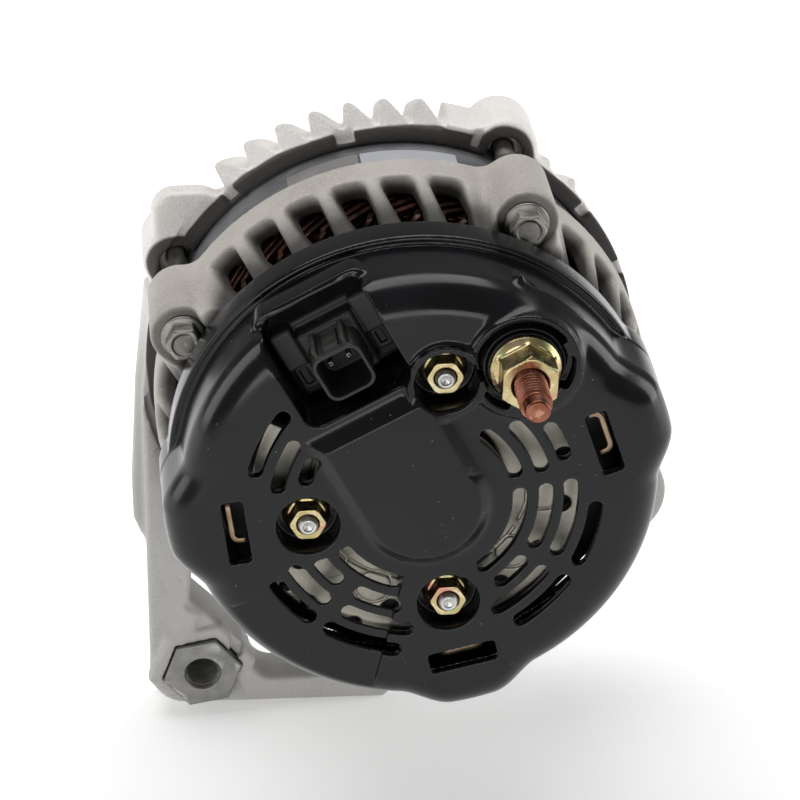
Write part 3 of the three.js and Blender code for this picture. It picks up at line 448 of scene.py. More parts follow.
def rounded(x0, x1, z0, z1, corner):
    cx, cz, hx, hz = (x0 + x1) / 2, (z0 + z1) / 2, (x1 - x0) / 2 - corner, (z1 - z0) / 2 - corner

    def distance(x, z):
        px, pz = np.abs(x - cx) - hx, np.abs(z - cz) - hz
        return np.hypot(np.maximum(px, 0), np.maximum(pz, 0)) + np.minimum(np.maximum(px, pz), 0) - corner

    return distance, (x0, x1, z0, z1)


def outline(points, corner=0.0):
    """A polygon; a positive corner rounds its outer corners and keeps its size."""
    xs, zs = [p[0] for p in points], [p[1] for p in points]
    shape = inset(points, corner) if corner else points
    return lambda x, z: polygon_distance(shape, x, z) - corner, (min(xs), max(xs), min(zs), max(zs))


def inset(points, by):
    """A polygon's corners moved in, so that growing it again by the same amount rounds it."""
    area = sum(a[0] * b[1] - b[0] * a[1] for a, b in zip(points, [*points[1:], points[0]]))
    side = 1 if area > 0 else -1
    moved = []
    for before, here, after in zip([points[-1], *points[:-1]], points, [*points[1:], points[0]]):
        one = Vector((here[0] - before[0], here[1] - before[1])).normalized()
        two = Vector((after[0] - here[0], after[1] - here[1])).normalized()
        n1, n2 = Vector((-one.y, one.x)) * side, Vector((-two.y, two.x)) * side
        step = (n1 + n2) / max(0.2, 1 + n1.dot(n2)) * by
        moved.append((here[0] + step.x, here[1] + step.y))
    return moved


def arc_slot(middle, half, start, end):
    """A slot with round ends, along an arc about the rotor's axis."""
    centre, span = math.radians((start + end) / 2), math.radians(abs(end - start) / 2)
    c, n = math.cos(centre), math.sin(centre)
    tip = (middle * math.cos(span), middle * math.sin(span))
    reach = middle + half

    def distance(x, z):
        along, side = x * c + z * n, np.abs(z * c - x * n)
        inside = side * math.cos(span) < along * math.sin(span)
        return np.where(inside, np.abs(np.hypot(along, side) - middle),
                        np.hypot(along - tip[0], side - tip[1])) - half

    angles = np.radians(np.linspace(start, end, 9))
    xs, zs = np.cos(angles) * middle, np.sin(angles) * middle
    return distance, (max(xs.min() - half, -reach), xs.max() + half, zs.min() - half, zs.max() + half)


def prism(flat, s0, s1, edge=0.0):
    """An outline between two stations, its edges rounded."""
    distance, (x0, x1, z0, z1) = flat
    middle, half = (s0 + s1) / 2, (s1 - s0) / 2 - edge

    def solid(x, s, z):
        across = distance(x, z) + edge
        along = np.abs(s - middle) - half
        if edge == 0:
            return np.maximum(across, along)
        return (np.hypot(np.maximum(across, 0), np.maximum(along, 0))
                + np.minimum(np.maximum(across, along), 0) - edge)

    return Shape(solid, (x0, x1, s0, s1, z0, z1))


def revolved(points, x0=0.0, z0=0.0):
    """A body of revolution about an axis along s, from [radius, station] corners."""
    reach = max(p[0] for p in points)
    stations = [p[1] for p in points]

    def solid(x, s, z):
        radius = np.hypot(x - x0, z - z0)
        steps = np.arange(0, float(radius.max()) + 0.4, 0.2)
        table = polygon_distance(points, steps[:, None], s[0, :, 0][None, :])
        return np.stack([np.interp(radius[:, 0, :], steps, column) for column in table.T], axis=1)

    return Shape(solid, (x0 - reach, x0 + reach, min(stations), max(stations), z0 - reach, z0 + reach))


def rod(radius, s0, s1, x=0.0, z=0.0, edge=0.0):
    return prism(circle(x, z, radius), s0, s1, edge)


def block(x0, x1, s0, s1, z0, z1, edge=0.0):
    return prism(rounded(x0, x1, z0, z1, max(edge, 0.01)), s0, s1, edge)


def hexagon(flats, s0, s1, turn=0.0, edge=0.3, x=0.0, z=0.0):
    radius = flats / math.sqrt(3)
    points = [(x + radius * math.cos(math.radians(turn + 60 * i)), z + radius * math.sin(math.radians(turn + 60 * i)))
              for i in range(6)]
    return prism(outline(points, edge), s0, s1, edge)


def thread(radius, depth, pitch, s0, s1, x0=0.0, z0=0.0):
    """A rod with a V thread cut depth deep."""
    def solid(x, s, z):
        turn = np.arctan2(z - z0, x - x0) / (2 * math.pi)
        phase = np.abs(((s / pitch - turn) % 1) * 2 - 1)
        across = (np.hypot(x - x0, z - z0) - radius + depth * np.clip(phase * 1.25 - 0.1, 0, 1)) * 0.75
        return np.maximum(across, np.maximum(s0 - s, s - s1))

    return Shape(solid, (x0 - radius, x0 + radius, s0, s1, z0 - radius, z0 + radius))


# ------------------------------------------------------------------ meshes and pieces


def to_row(points):
    """Millimetres and stations to metres in the row's frame."""
    return (np.asarray(points, float) - (0, SHAFT_END, 0)) / 1000


def make_object(name, corners, faces):
    """faces is an array with the same number of corners in every row."""
    mesh = bpy.data.meshes.new(name)
    mesh.vertices.add(len(corners))
    mesh.vertices.foreach_set("co", to_row(corners).astype(np.float32).ravel())
    mesh.loops.add(faces.size)
    mesh.loops.foreach_set("vertex_index", faces.astype(np.int32).ravel())
    mesh.polygons.add(len(faces))
    mesh.polygons.foreach_set("loop_start", np.arange(0, faces.size, faces.shape[1], dtype=np.int32))
    mesh.update(calc_edges=True)
    mesh.shade_smooth()
    made = bpy.data.objects.new(name, mesh)
    bpy.context.scene.collection.objects.link(made)
    return made


def apply_modifiers(made):
    evaluated = made.evaluated_get(bpy.context.evaluated_depsgraph_get())
    mesh = bpy.data.meshes.new_from_object(evaluated)
    made.modifiers.clear()
    made.data = mesh


def dress(made, material, body, replaces=()):
    made.data.materials.clear()
    made.data.materials.append(MATERIAL[material])
    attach(made, body)
    if replaces:
        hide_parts(*replaces)
    return made


def turn_points(points, radians):
    c, n = math.cos(radians), math.sin(radians)
    x, s, z = points[:, 0], points[:, 1], points[:, 2]
    return np.stack([x * c - z * n, s, x * n + z * c], axis=1)


def from_field(name, field, thin=1.0, tilt=0.0, offset=(0, 0, 0)):
    """A mesh of the field's surface, with thin its share of faces kept."""
    corners, faces = field.surface()
    if tilt:
        corners = turn_points(corners, tilt)
    made = make_object(name, corners + np.array(offset), faces)
    if thin < 1:
        made.modifiers.new("thin", "DECIMATE").ratio = thin
        apply_modifiers(made)
        made.data.shade_smooth()
    return made


def lathe(name, profile, sides=128, sharp=35):
    """A closed body of revolution about the rotor's axis; profile corners are [radius, station]."""
    angles = np.linspace(0, 2 * math.pi, sides, endpoint=False)
    profile = np.array(profile, float)
    radius, station = profile[:, 0], profile[:, 1]
    corners = np.stack([
        np.outer(np.cos(angles), radius), np.tile(station, (sides, 1)), np.outer(np.sin(angles), radius)], axis=-1)
    count = len(profile)
    i, j = np.meshgrid(np.arange(sides), np.arange(count), indexing="ij")
    i2, j2 = (i + 1) % sides, (j + 1) % count
    faces = np.stack([i * count + j, i2 * count + j, i2 * count + j2, i * count + j2], axis=-1).reshape(-1, 4)
    area = np.sum(radius * np.roll(station, -1) - np.roll(radius, -1) * station)
    made = make_object(name, corners.reshape(-1, 3), faces if area > 0 else faces[:, ::-1])
    made.data.set_sharp_from_angle(angle=math.radians(sharp))
    return made


def sweep(paths, half_width, half_height):
    """Square bars along paths, each path a list of points; returns corners and faces for all of them."""
    corners, faces = [], []
    for path in paths:
        path = np.asarray(path, float)
        ahead = np.gradient(path, axis=0)
        ahead /= np.linalg.norm(ahead, axis=1)[:, None]
        out = path * (1, 0, 1)
        out /= np.maximum(np.linalg.norm(out, axis=1), 1e-9)[:, None]
        side = np.cross(ahead, out)
        side /= np.linalg.norm(side, axis=1)[:, None]
        out = np.cross(side, ahead)
        first = len(corners) and sum(len(c) for c in corners)
        ring = [path + side * a * half_width + out * b * half_height for a, b in ((-1, -1), (1, -1), (1, 1), (-1, 1))]
        corners.append(np.stack(ring, axis=1).reshape(-1, 3))
        for i in range(len(path) - 1):
            a, b = first + 4 * i, first + 4 * i + 4
            faces += [(a + j, a + (j + 1) % 4, b + (j + 1) % 4, b + j) for j in range(4)]
        last = first + 4 * (len(path) - 1)
        faces += [(first + 3, first + 2, first + 1, first), (last, last + 1, last + 2, last + 3)]
    return np.concatenate(corners), np.array(faces)


def bevel(made, width, segments=2, angle=35):
    cut = made.modifiers.new("edge", "BEVEL")
    cut.width = width / 1000
    cut.segments = segments
    cut.limit_method = "ANGLE"
    cut.angle_limit = math.radians(angle)
    apply_modifiers(made)
    made.data.shade_smooth()
    made.data.set_sharp_from_angle(angle=math.radians(angle))


# ------------------------------------------------------------------ rear cover

COVER_RADIUS, SKIRT_RADIUS, SKIRT_BACK, COVER_FACE = 58.6, 61.0, 9.0, -22.4
LEAD_ANGLES, LEAD_RADIUS = (187, 282.4, 18.3), 46.0
SLOT_ROWS = (23.4, 29.8, 35.9, 42.2)
SLOTS = ((0, 20, 50), (1, 18, 42), (2, 20, 32), (0, 309, 363), (1, 336, 364), (2, 336, 365), (3, 335, 355),
         (1, 310, 323), (2, 301, 324), (3, 305, 325), (0, 216, 252), (1, 213, 224), (2, 209, 227), (3, 211, 228),
         (1, 239, 256), (2, 239, 263), (3, 237, 260), (1, 155, 163), (2, 151, 169), (3, 143, 164))
TERMINAL = (23.7, 36.9)
STUDS = ((-28.2, -4.6, -22.4), (6.1, -28.6, -22.4), (5.0, 33.8, -24.2))
POCKET_FLOOR = -15.3


def cover_edge(radius):
    """A circle of that radius with a lobe over each stator lead, as an outline."""
    def distance(x, z):
        angle = np.degrees(np.arctan2(z, x))
        bulge = 0.0
        for lead in LEAD_ANGLES:
            away = np.abs((angle - lead + 540) % 360 - 180)
            t = np.clip((18 - away) / 13, 0, 1)
            bulge = np.maximum(bulge, t * t * (3 - 2 * t))
        grown = np.maximum(radius, COVER_RADIUS + 4.4 * bulge + min(radius - COVER_RADIUS, 0))
        return (np.hypot(x, z) - grown) * 0.97

    return distance, (-64, 64, -64, 64)


def pad_outline():
    def distance(u, w):
        sides = np.maximum(np.abs(u) - 17, np.maximum(-w, w - 29.5))
        return np.minimum(sides, np.hypot(u, w) - 17)

    return distance, (-17, 17, -17, 29.5)


def raised_pad():
    """The pad stands 3 mm proud, and its side slopes gently down to the face."""
    distance, box = pad_outline()

    def solid(x, s, z):
        return np.maximum(COVER_FACE - 3 - s, (distance(x, z) + (COVER_FACE - s) * 1.2) * 0.64)

    return Shape(solid, (box[0] - 4, box[1] + 4, COVER_FACE - 3, COVER_FACE + 1, box[2] - 4, box[3] + 4)).turned(27.6)


def fairing():
    """A cone lying on the shoulder above the battery terminal, its point upwards."""
    top, foot, spread = 54.0, 37.0, 8 / 15

    def solid(x, s, z):
        side = (np.hypot(x - TERMINAL[0], s + 12.5) - 1.5 - (top - z) * spread) * 0.88
        return np.maximum(side, np.maximum(foot - z, z - top - 2))

    return Shape(solid, (12, 36, -24, -2, foot, top + 2))


def make_cover():
    f = Field((-65, -27, -65), (65, 10.5, 65), 0.4)
    f.add(prism(cover_edge(COVER_RADIUS), COVER_FACE, 40, 9))
    f.cut(block(-80, 80, SKIRT_BACK, 60, -80, 80))
    f.add(prism(cover_edge(SKIRT_RADIUS), 0, SKIRT_BACK, 0.8), k=0.8)

    # The raised pad, the ring round the battery terminal and the swelling behind it, the third nut's collar.
    f.add(raised_pad(), k=1.0)
    f.add(revolved([(0, -24), (13.5, -24), (13.8, -20), (15.5, -13.8), (0, -13.8)], *TERMINAL), k=2.2)
    f.add(fairing(), k=1.8)
    f.add(revolved([(0, -24.2), (9.4, -24.2), (9.8, -21), (0, -21)], *STUDS[2][:2]), k=1.5)

    inner = prism(cover_edge(COVER_RADIUS - 2.4), COVER_FACE + 2.4, 60, 7)
    f.cut(inner, k=0.5)
    f.cut(rod(58.8, 1.8, 60))
    f.cut(prism(rounded(-13, 13, -13, 25.5, 12), COVER_FACE - 0.4, COVER_FACE + 4, 1).turned(27.6))

    # Inside the shell: the walls of the plug well, the terminal's tube and the cups under the nuts.
    well = (-14, 14, 31.5, 57.5)
    outside = rounded(well[0] - 1.8, well[1] + 1.8, well[2] - 1.8, well[3] + 1.8, 5)
    f.add(prism(outside, -10.5, -3.9, 0.6).turned(27.6), k=0.8)
    wall = prism(outside, COVER_FACE + 0.6, -9).turned(27.6)
    dome = prism(cover_edge(COVER_RADIUS), COVER_FACE, 40, 9)
    f.add(Shape(lambda x, s, z: np.maximum(wall.distance(x, s, z), dome.distance(x, s, z)), wall.box))
    f.add(rod(13.3, COVER_FACE, -13.8, *TERMINAL))
    f.add(*(rod(9.3, face + 0.5, POCKET_FLOOR + 2, x, z) for x, z, face in STUDS))

    f.cut(prism(rounded(*well, 4), -50, -3.8).turned(27.6), k=0.7)
    f.cut(block(-16.2, 16.2, -50, -10.9, 56.5, 70, 1).turned(27.6), k=0.4)
    for x, z, face in STUDS:
        f.cut(rod(NUT_WELL, -40, POCKET_FLOOR, x, z), k=0.7)
        f.cut(rod(2.9, -40, 5, x, z))
    f.cut(rod(10.2, -50, 5, *TERMINAL), k=0.5)

    # The terminal ring's flat floor between its thin outer wall and the insulator, with three deeper arcs.
    def terminal_arc(start, end, depth):
        distance, box = arc_slot(11.0, 1.0, start, end)
        moved = (lambda x, z: distance(x - TERMINAL[0], z - TERMINAL[1]),
                 (box[0] + TERMINAL[0], box[1] + TERMINAL[0], box[2] + TERMINAL[1], box[3] + TERMINAL[1]))
        return prism(moved, -30, -24 + depth)

    f.cut(terminal_arc(38, 190, 5.5), terminal_arc(-28, 8, 4), terminal_arc(218, 246, 4), k=0.3)

    for angle in LEAD_ANGLES:
        window = rounded(LEAD_RADIUS - 2.7, LEAD_RADIUS + 2.7, -8.5, 8.5, 0.9)
        f.cut(prism(window, -30, -15).turned(angle), k=0.5)
    f.cut(prism(band(21, 57, 210.5, 256.5), -30, COVER_FACE + 1.5), k=0.7)
    for row, start, end in SLOTS:
        f.cut(prism(arc_slot(SLOT_ROWS[row], 1.75, start, end), -30, -17), k=0.5)
    # An ejector pin's mark on the pad.
    f.cut(prism(ring_outline(4.9, -7.2, 2.1, 0.25), -26, -25.2), k=0.2)
    f.cut(rod(0.8, -26, -25.1, 4.9, -7.2), k=0.3)
    return from_field("cover_shell", f, 0.32)


NUT_WELL = 7.7


def band(inner, outer, start, end):
    """A flat sector between two radii and two angles."""
    centre, span = math.radians((start + end) / 2), math.radians((end - start) / 2)
    c, n = math.cos(centre), math.sin(centre)

    def distance(x, z):
        along, side = x * c + z * n, np.abs(z * c - x * n)
        beyond = side * math.cos(span) - along * math.sin(span)
        return np.maximum(np.abs(np.hypot(x, z) - (inner + outer) / 2) - (outer - inner) / 2, beyond)

    return distance, (-outer, outer, -outer, outer)


def ring_outline(x0, z0, radius, half):
    return (lambda x, z: np.abs(np.hypot(x - x0, z - z0) - radius) - half,
            (x0 - radius - half, x0 + radius + half, z0 - radius - half, z0 + radius + half))


dress(make_cover(), "cover_plastic", "housing", ["rear_cover"])

# ------------------------------------------------------------------ terminal, nuts and studs


def make_insulator():
    f = Field((-11, -25, -11), (11, -12, 11), 0.25)
    f.add(revolved([(4.4, -23.4), (9.0, -23.4), (9.9, -22.4), (9.9, -13.2), (4.4, -13.2)]))
    f.cut(revolved([(8.9, -24), (9.4, -24), (9.4, -20), (8.9, -20)]), k=0.3)
    return from_field("terminal_insulator", f, 0.5, offset=(TERMINAL[0], 0, TERMINAL[1]))


def make_terminal_nut():
    f = Field((-9.5, -33.6, -9.5), (9.5, -23, 9.5), 0.14)
    f.add(revolved([(0, -32.9), (6.7, -32.9), (7.7, -32.2), (7.7, -24.6), (0, -24.6)]))
    hexa = hexagon(13, -34, -24, 28, 0.25)
    f.cut(Shape(lambda x, s, z: -hexa.distance(x, s, z), (-9.5, 9.5, -34, -23, -9.5, 9.5)))
    f.add(revolved([(0, -23.7), (8.6, -23.7), (8.75, -24.1), (8.5, -24.9), (7.4, -26.1), (0, -26.6)]), k=0.8)
    f.cut(revolved([(0, -34), (4.9, -34), (4.3, -32.3), (4.3, -20), (0, -20)]), k=0.2)
    # Nothing is stamped on the flange; the real one's marks are left out.
    return from_field("terminal_nut", f, 0.5, offset=(TERMINAL[0], 0, TERMINAL[1]))


def make_terminal_stud():
    f = Field((-8.5, -46.8, -8.5), (8.5, -8, 8.5), 0.16)
    f.add(revolved([(0, -46), (2.5, -46), (2.9, -45.6), (3.1, -42.6), (0, -42.6)]))
    f.add(thread(3.98, 0.75, 1.25, -42.4, -20), k=0.12)
    f.add(revolved([(0, -21), (3.9, -21), (3.9, -9.6), (8, -9.6), (8, -8.9), (0, -8.9)]))
    return from_field("terminal_stud", f, 0.6, offset=(TERMINAL[0], 0, TERMINAL[1]))


def make_cover_nut():
    seat = POCKET_FLOOR - 0.3
    f = Field((-6.6, seat - 6.6, -6.6), (6.6, seat + 0.5, 6.6), 0.12)
    f.add(revolved([(0, seat - 6), (4.2, seat - 6), (4.75, seat - 5.5), (4.75, seat - 1), (0, seat - 1)]))
    hexa = hexagon(8, seat - 8, seat, 0, 0.2)
    f.cut(Shape(lambda x, s, z: -hexa.distance(x, s, z), (-6.6, 6.6, seat - 7, seat + 1, -6.6, 6.6)))
    f.add(revolved([(0, seat), (5.8, seat), (5.9, seat - 0.4), (5.6, seat - 1), (4.7, seat - 1.7), (0, seat - 2)]),
          k=0.5)
    f.cut(revolved([(0, -30), (3.3, -30), (2.8, seat - 5.4), (2.8, 0), (0, 0)]), k=0.15)
    return f


def make_cover_stud():
    f = Field((-2.9, -23.4, -2.9), (2.9, 9.6, 2.9), 0.12)
    f.add(revolved([(0, -23), (1.9, -23), (2.3, -22.5), (2.3, 9), (0, 9)]))
    f.add(thread(2.48, 0.35, 0.8, -22.3, -10), k=0.1)
    f.cut(revolved([(0, -24), (1.5, -24), (1.2, -22.7), (0, -22.2)]), k=0.2)
    return f


dress(make_insulator(), "black_plastic", "housing", ["b_terminal_insulator"])
dress(make_terminal_nut(), "zinc_yellow", "housing", ["b_terminal_nut"])
dress(make_terminal_stud(), "copper_stud", "housing", ["b_terminal_stud"])
nut_field, stud_field = make_cover_nut(), make_cover_stud()
for index, (nut_x, nut_z, _) in enumerate(STUDS, 1):
    nut = from_field(f"flange_nut_{index}", nut_field, 0.5, offset=(nut_x, 0, nut_z))
    dress(nut, "zinc_yellow", "housing", [f"cover_nut_{index}"])
    stud = from_field(f"stud_{index}", stud_field, 0.5, offset=(nut_x, 0, nut_z))
    dress(stud, "steel", "housing", [f"cover_stud_{index}"])

# ------------------------------------------------------------------ rectifier plates, leads and regulator


def crescent(name, inner, outer, s0, s1, holes):
    f = Field((-outer - 1, s0 - 1, -outer - 1), (outer + 1, s1 + 1, outer + 1), 0.35)
    f.add(prism(band(inner, outer, 152, 410), s0, s1, 0.5))
    if name == "heatsink_plate":
        f.add(rod(9, s0, s1, *TERMINAL, edge=0.5), k=1)
        f.add(block(33, 42, s0, s1, -6, 6, 0.5).turned(51), k=1)
        f.add(prism(band(40, 44.6, 206, 260), s0, s1, 0.5), k=0.5)
        f.cut(*(rod(1.9, s0 - 1, s1 + 1, *spot(42.6, angle)) for angle in (219, 229, 247)), k=0.3)
    f.cut(*holes, k=0.3)
    return from_field(name, f, 0.5)


def spot(radius, degrees):
    return radius * math.cos(math.radians(degrees)), radius * math.sin(math.radians(degrees))


def plate_holes(s0, s1, terminal):
    holes = [rod(2.9, s0 - 2, s1 + 2, x, z) for x, z, _ in STUDS]
    return [*holes, rod(terminal, s0 - 2, s1 + 2, *TERMINAL)]


diodes = [rod(2.3, -14, -9, *spot(36, angle)) for angle in (214, 236, 258, 304, 326, 348, 10)]
seams = [prism(ring_outline(*spot(31, angle), 4.6, 0.22), -14, -12.4) for angle in (222, 248, 318, 352)]
seams += [prism(arc_slot(27, 0.3, *span), -14, -12.2) for span in ((160, 200), (205, 262), (292, 330), (335, 378))]
dress(crescent("heatsink_plate", 20.5, 41.5, -12.9, -9.9, [*plate_holes(-12.9, -9.9, 4.3), *diodes, *seams]),
      "plate", "housing", ["heatsink_positive"])
dress(crescent("lead_plate", 22.5, 49, -8.6, -5.4, plate_holes(-8.6, -5.4, 9.2)),
      "black_plastic", "housing", ["terminal_plate"])
dress(crescent("ground_plate", 24, 52, -3, 1, plate_holes(-3, 1, 9.2)),
      "plate", "housing", ["heatsink_negative"])


def rounded_path(points, radius, steps=6):
    """A path through points whose inner corners are replaced with arcs."""
    points = [Vector(p) for p in points]
    path = [points[0]]
    for before, here, after in zip(points, points[1:], points[2:]):
        start, end = here + (before - here).normalized() * radius, here + (after - here).normalized() * radius
        for t in np.linspace(0, math.pi / 2, steps):
            path.append(here + (start - here) * (1 - math.sin(t)) + (end - here) * (1 - math.cos(t)))
    return [*path, points[-1]]


def make_lead(index, degrees, bends):
    """A stator lead's flattened wire. It lies along the outer side of its window, bent in at one end or both."""
    outer, inner, level = LEAD_RADIUS + 1.2, LEAD_RADIUS - 1.9, -16.4
    start = (inner, level, 5.6) if bends == 2 else (outer, -9, -5.4)
    first = 5.6 if bends == 2 else -5.4
    last = -5.4 if bends == 2 else 5.4
    path = rounded_path([start, (outer, level, first), (outer, level, last), (inner, level, last)], 2.0)
    corners, faces = sweep([path], 0.75, 0.8)
    made = make_object(f"lead_loop_{index}", turn_points(corners, math.radians(degrees)), faces)
    bevel(made, 0.3, 3)
    return dress(made, "lead_wire", "housing", [f"stator_lead_{index}"])


for index, (angle, bends) in enumerate(zip(LEAD_ANGLES, (1, 1, 2)), 1):
    make_lead(index, angle, bends)


def make_regulator():
    """The moulded block and its plug shroud, in the tilted frame of the plug."""
    f = Field((-14.5, -23.6, 31), (14.5, 4, 54), 0.22)
    f.add(block(-13, 13, -8, 3, 33, 53, 1.2))
    # Shoulders beside the shroud, each with a lower step.
    f.add(block(-13.2, -7.6, -11.5, -6, 42.5, 53, 0.8), k=0.5)
    f.add(block(7.8, 13.2, -11.5, -6, 42.5, 53, 0.8), k=0.5)
    f.add(block(-12.4, -7.6, -9.5, -6, 35, 42, 0.7), k=0.4)
    f.add(block(8, 12.4, -9.5, -6, 36, 42, 0.7), k=0.4)
    f.cut(block(-11.2, -9.2, -12, -8.6, 36.5, 41.2, 0.4), k=0.3)
    f.cut(block(9.4, 11.2, -12, -8.6, 37.5, 41.2, 0.4), k=0.3)
    f.add(block(-7.2, 7.6, -13, -6, 34.6, 50.6, 1.0), k=0.8)
    f.add(prism(rounded(-6.1, 6.5, 35.3, 47.9, 3), -22.4, -7, 0.3), k=0.6)
    for x in (-3.6, 4):
        f.add(block(x - 0.65, x + 0.65, -21.4, -7.5, 47, 50.2, 0.4), k=0.3)
    f.add(block(-1.9, 2.3, -20.4, -8, 47, 48.7, 0.3), k=0.2)
    f.cut(block(-0.9, 1.3, -18.6, -16.4, 48.2, 50, 0.2), k=0.1)
    f.cut(prism(rounded(-5.2, 5.6, 36.2, 47, 2.3), -30, -9, 0.4), k=0.35)
    for x in (-2.4, 2.4):
        f.cut(block(x - 0.8, x + 0.8, -11, -6.4, 41.7, 43.3))
    return from_field("regulator_block", f, 0.45, tilt=TILT)


def make_pin(index, u):
    f = Field((u - 1.2, -18, 41.2), (u + 1.2, -6.4, 43.8), 0.1)
    f.add(block(u - 0.5, u + 0.5, -16.6, -6.8, 42, 43, 0.15))
    f.add(prism(outline([(u - 0.28, 42.2), (u + 0.28, 42.2), (u + 0.28, 42.8), (u - 0.28, 42.8)]), -17.5, -16), k=1.2)
    made = from_field(f"blade_{index}", f, 0.6, tilt=TILT)
    return dress(made, "dark_steel", "housing", [f"connector_pin_{index}"])


dress(make_regulator(), "plug_plastic", "housing", ["voltage_regulator"])
make_pin(1, -2.4)
make_pin(2, 2.4)

# ------------------------------------------------------------------ rear housing

BOLT_RADIUS, BOLT_ANGLES = 62.8, (62.5, 152.5, 242.5, 332.5)
VENT_PITCH = 11.25


def vent(degrees):
    """A vent between two ribs. It leans with the station, and its wall at the larger angle slopes inwards."""
    s0, s1, half, corner = 8.4, 30.6, 4.9, 2.2

    def solid(x, s, z):
        lean = 0.13 * (s - 19)
        deep = np.clip(63.5 - x, 0, 9)
        low, high = lean - half + 0.1 * deep, lean + half - 0.55 * deep
        across = np.abs(z - (low + high) / 2) - (high - low) / 2 + corner
        along = np.abs(s - (s0 + s1) / 2) - (s1 - s0) / 2 + corner
        flat = np.hypot(np.maximum(across, 0), np.maximum(along, 0)) + np.minimum(np.maximum(across, along), 0)
        return np.maximum((flat - corner) * 0.9, 50 - x)

    return Shape(solid, (50, 68, s0, s1, -half - 2, half + 2)).turned(degrees)


def make_rear_housing():
    f = Field((-72, -1, -72), (72, 41.2, 72), 0.45)
    f.add(revolved([(20, 6), (54, 6), (58.4, 9.6), (63.4, 30.5), (63.5, 40), (60.5, 40), (60.5, 34.1),
                    (57.6, 34.1), (57.6, 20), (52, 9.5), (20, 9.5)]))
    f.add(*(rod(8.3, 12.5, 40, BOLT_RADIUS, 0, 1.6).turned(angle) for angle in BOLT_ANGLES), k=3.5)
    f.add(*(block(57, BOLT_RADIUS, 15, 40, -8, 8, 1).turned(angle) for angle in BOLT_ANGLES), k=2)
    for corner in BOLT_ANGLES:
        for facet in range(6):
            f.cut(vent(corner + (1.5 + facet) * VENT_PITCH), k=1.2)
    f.cut(*(prism(band(26, 48, 72 * i + 16, 72 * i + 68), 5, 10) for i in range(5)))
    f.cut(revolved([(0, 9.5), (52, 9.5), (57.6, 20), (57.6, 34.1), (60.5, 34.1), (60.5, 45), (0, 45)]))
    for x, z, _ in STUDS:
        angle = math.degrees(math.atan2(z, x))
        f.add(block(20, 50, 6.5, 9.3, -5, 5, 0.6).turned(angle))
        f.cut(rod(2.9, 0, 14, x, z))
    f.cut(rod(20.5, 5, 11))
    f.add(revolved([(13.5, 0), (21.5, 0), (21.5, 14.6), (17.8, 14.6), (17.8, 2.2), (13.5, 2.2)]), k=1)
    # A pocket with rounded walls round each bolt's head, open to the outside.
    for angle in BOLT_ANGLES:
        f.cut(rod(7.3, 8, 16, BOLT_RADIUS + 0.5, 0, 1.5).turned(angle), k=2.4)
        f.add(rod(2.6, 12, 30, BOLT_RADIUS - 3.5, -9, 1).turned(angle), k=2.5)
        f.cut(rod(3, 10, 45, BOLT_RADIUS, 0).turned(angle))
    return from_field("rear_casting", f, 0.3)


dress(make_rear_housing(), "rear_casting", "housing", ["rear_housing"])

# ------------------------------------------------------------------ stator


def make_stator_core():
    profile = [(51.3, 62.5), (51.3, 34.5)]
    station = 34.5
    while station < 62.4:
        profile += [(60.1, station), (60.1, station + 0.42), (59.9, station + 0.5), (59.9, station + 0.62)]
        station += 0.7
    return lathe("core_sheets", profile, 160, 60)


def hairpins(s_low, s_high, count=60):
    """Bars that cross in two layers between the core and the end of a winding."""
    paths = []
    for i in range(count):
        for radius, way, first in ((56.4, 1, 0.0), (53.4, -1, 0.5)):
            start = 360 * (i + first) / count
            path = []
            for t in np.linspace(0, 1, 9):
                angle = math.radians(start + way * 15 * max(0.0, min(1.0, (t - 0.12) / 0.76)))
                path.append((radius * math.cos(angle), s_low + (s_high - s_low) * t, radius * math.sin(angle)))
            paths.append(path)
        angle = 360 * i / count
        loop = []
        for t in np.linspace(0, math.pi, 9):
            a = math.radians(angle + 15 + 1.6 * (1 - math.cos(t)))
            radius = 56.4 - 1.5 * (1 - math.cos(t))
            loop.append((radius * math.cos(a), s_high + (1.2 if s_high > s_low else -1.2) * math.sin(t),
                         radius * math.sin(a)))
        paths.append(loop)
    return paths


def make_winding():
    corners, faces = sweep([*hairpins(34.2, 20.6), *hairpins(62.8, 73.8)], 0.85, 0.95)
    made = make_object("hairpin_winding", corners, faces)
    bevel(made, 0.25, 1)
    return made


dress(make_stator_core(), "laminations", "housing", ["stator_core"])
dress(make_winding(), "copper", "housing", ["stator_winding"])


def make_label(name, start, end, s0, s1, material):
    """A blank sticker bent round the core: the real one's print is left out."""
    f = Field((-8, s0 - 1, 40), (8, s1 + 1, 62), 0.25)
    angles = np.radians(np.linspace(start, end, 40))
    outer, inner = 60.45, 60.2
    corners = [(r * math.cos(a), s, r * math.sin(a)) for a in angles for r, s in
               ((inner, s0), (outer, s0), (outer, s1), (inner, s1))]
    faces = [(4 * i + j, 4 * i + 4 + j, 4 * i + 4 + (j + 1) % 4, 4 * i + (j + 1) % 4)
             for i in range(39) for j in range(4)]
    faces += [(0, 1, 2, 3), (159, 158, 157, 156)]
    made = make_object(name, np.array(corners), np.array(faces))
    made.data.set_sharp_from_angle(angle=math.radians(40))
    return dress(made, material, "housing")


make_label("blank_label", 75, 98.4, 41.5, 52, "label")
make_label("blank_band", 99, 117, 41.5, 52, "dark_label")

# ------------------------------------------------------------------ front housing and mounting arm

FINS = ((71.3, (83.3, 91, 98.6, 106.3, 113.9, 121.6, 129.2)), (66.8, (44, 52, 136)))
FRONT_FALL = ((60, 67, 74, 79, 85), (0, 2.6, 5.6, 8.4, 13.2))
BUSH = (-53.4, -94.1)
EAR = (61.5, -49.5)


def arc_points(x, z, radius, start, end, steps=8):
    return [(x + radius * math.cos(math.radians(a)), z + radius * math.sin(math.radians(a)))
            for a in np.linspace(start, end, steps)]


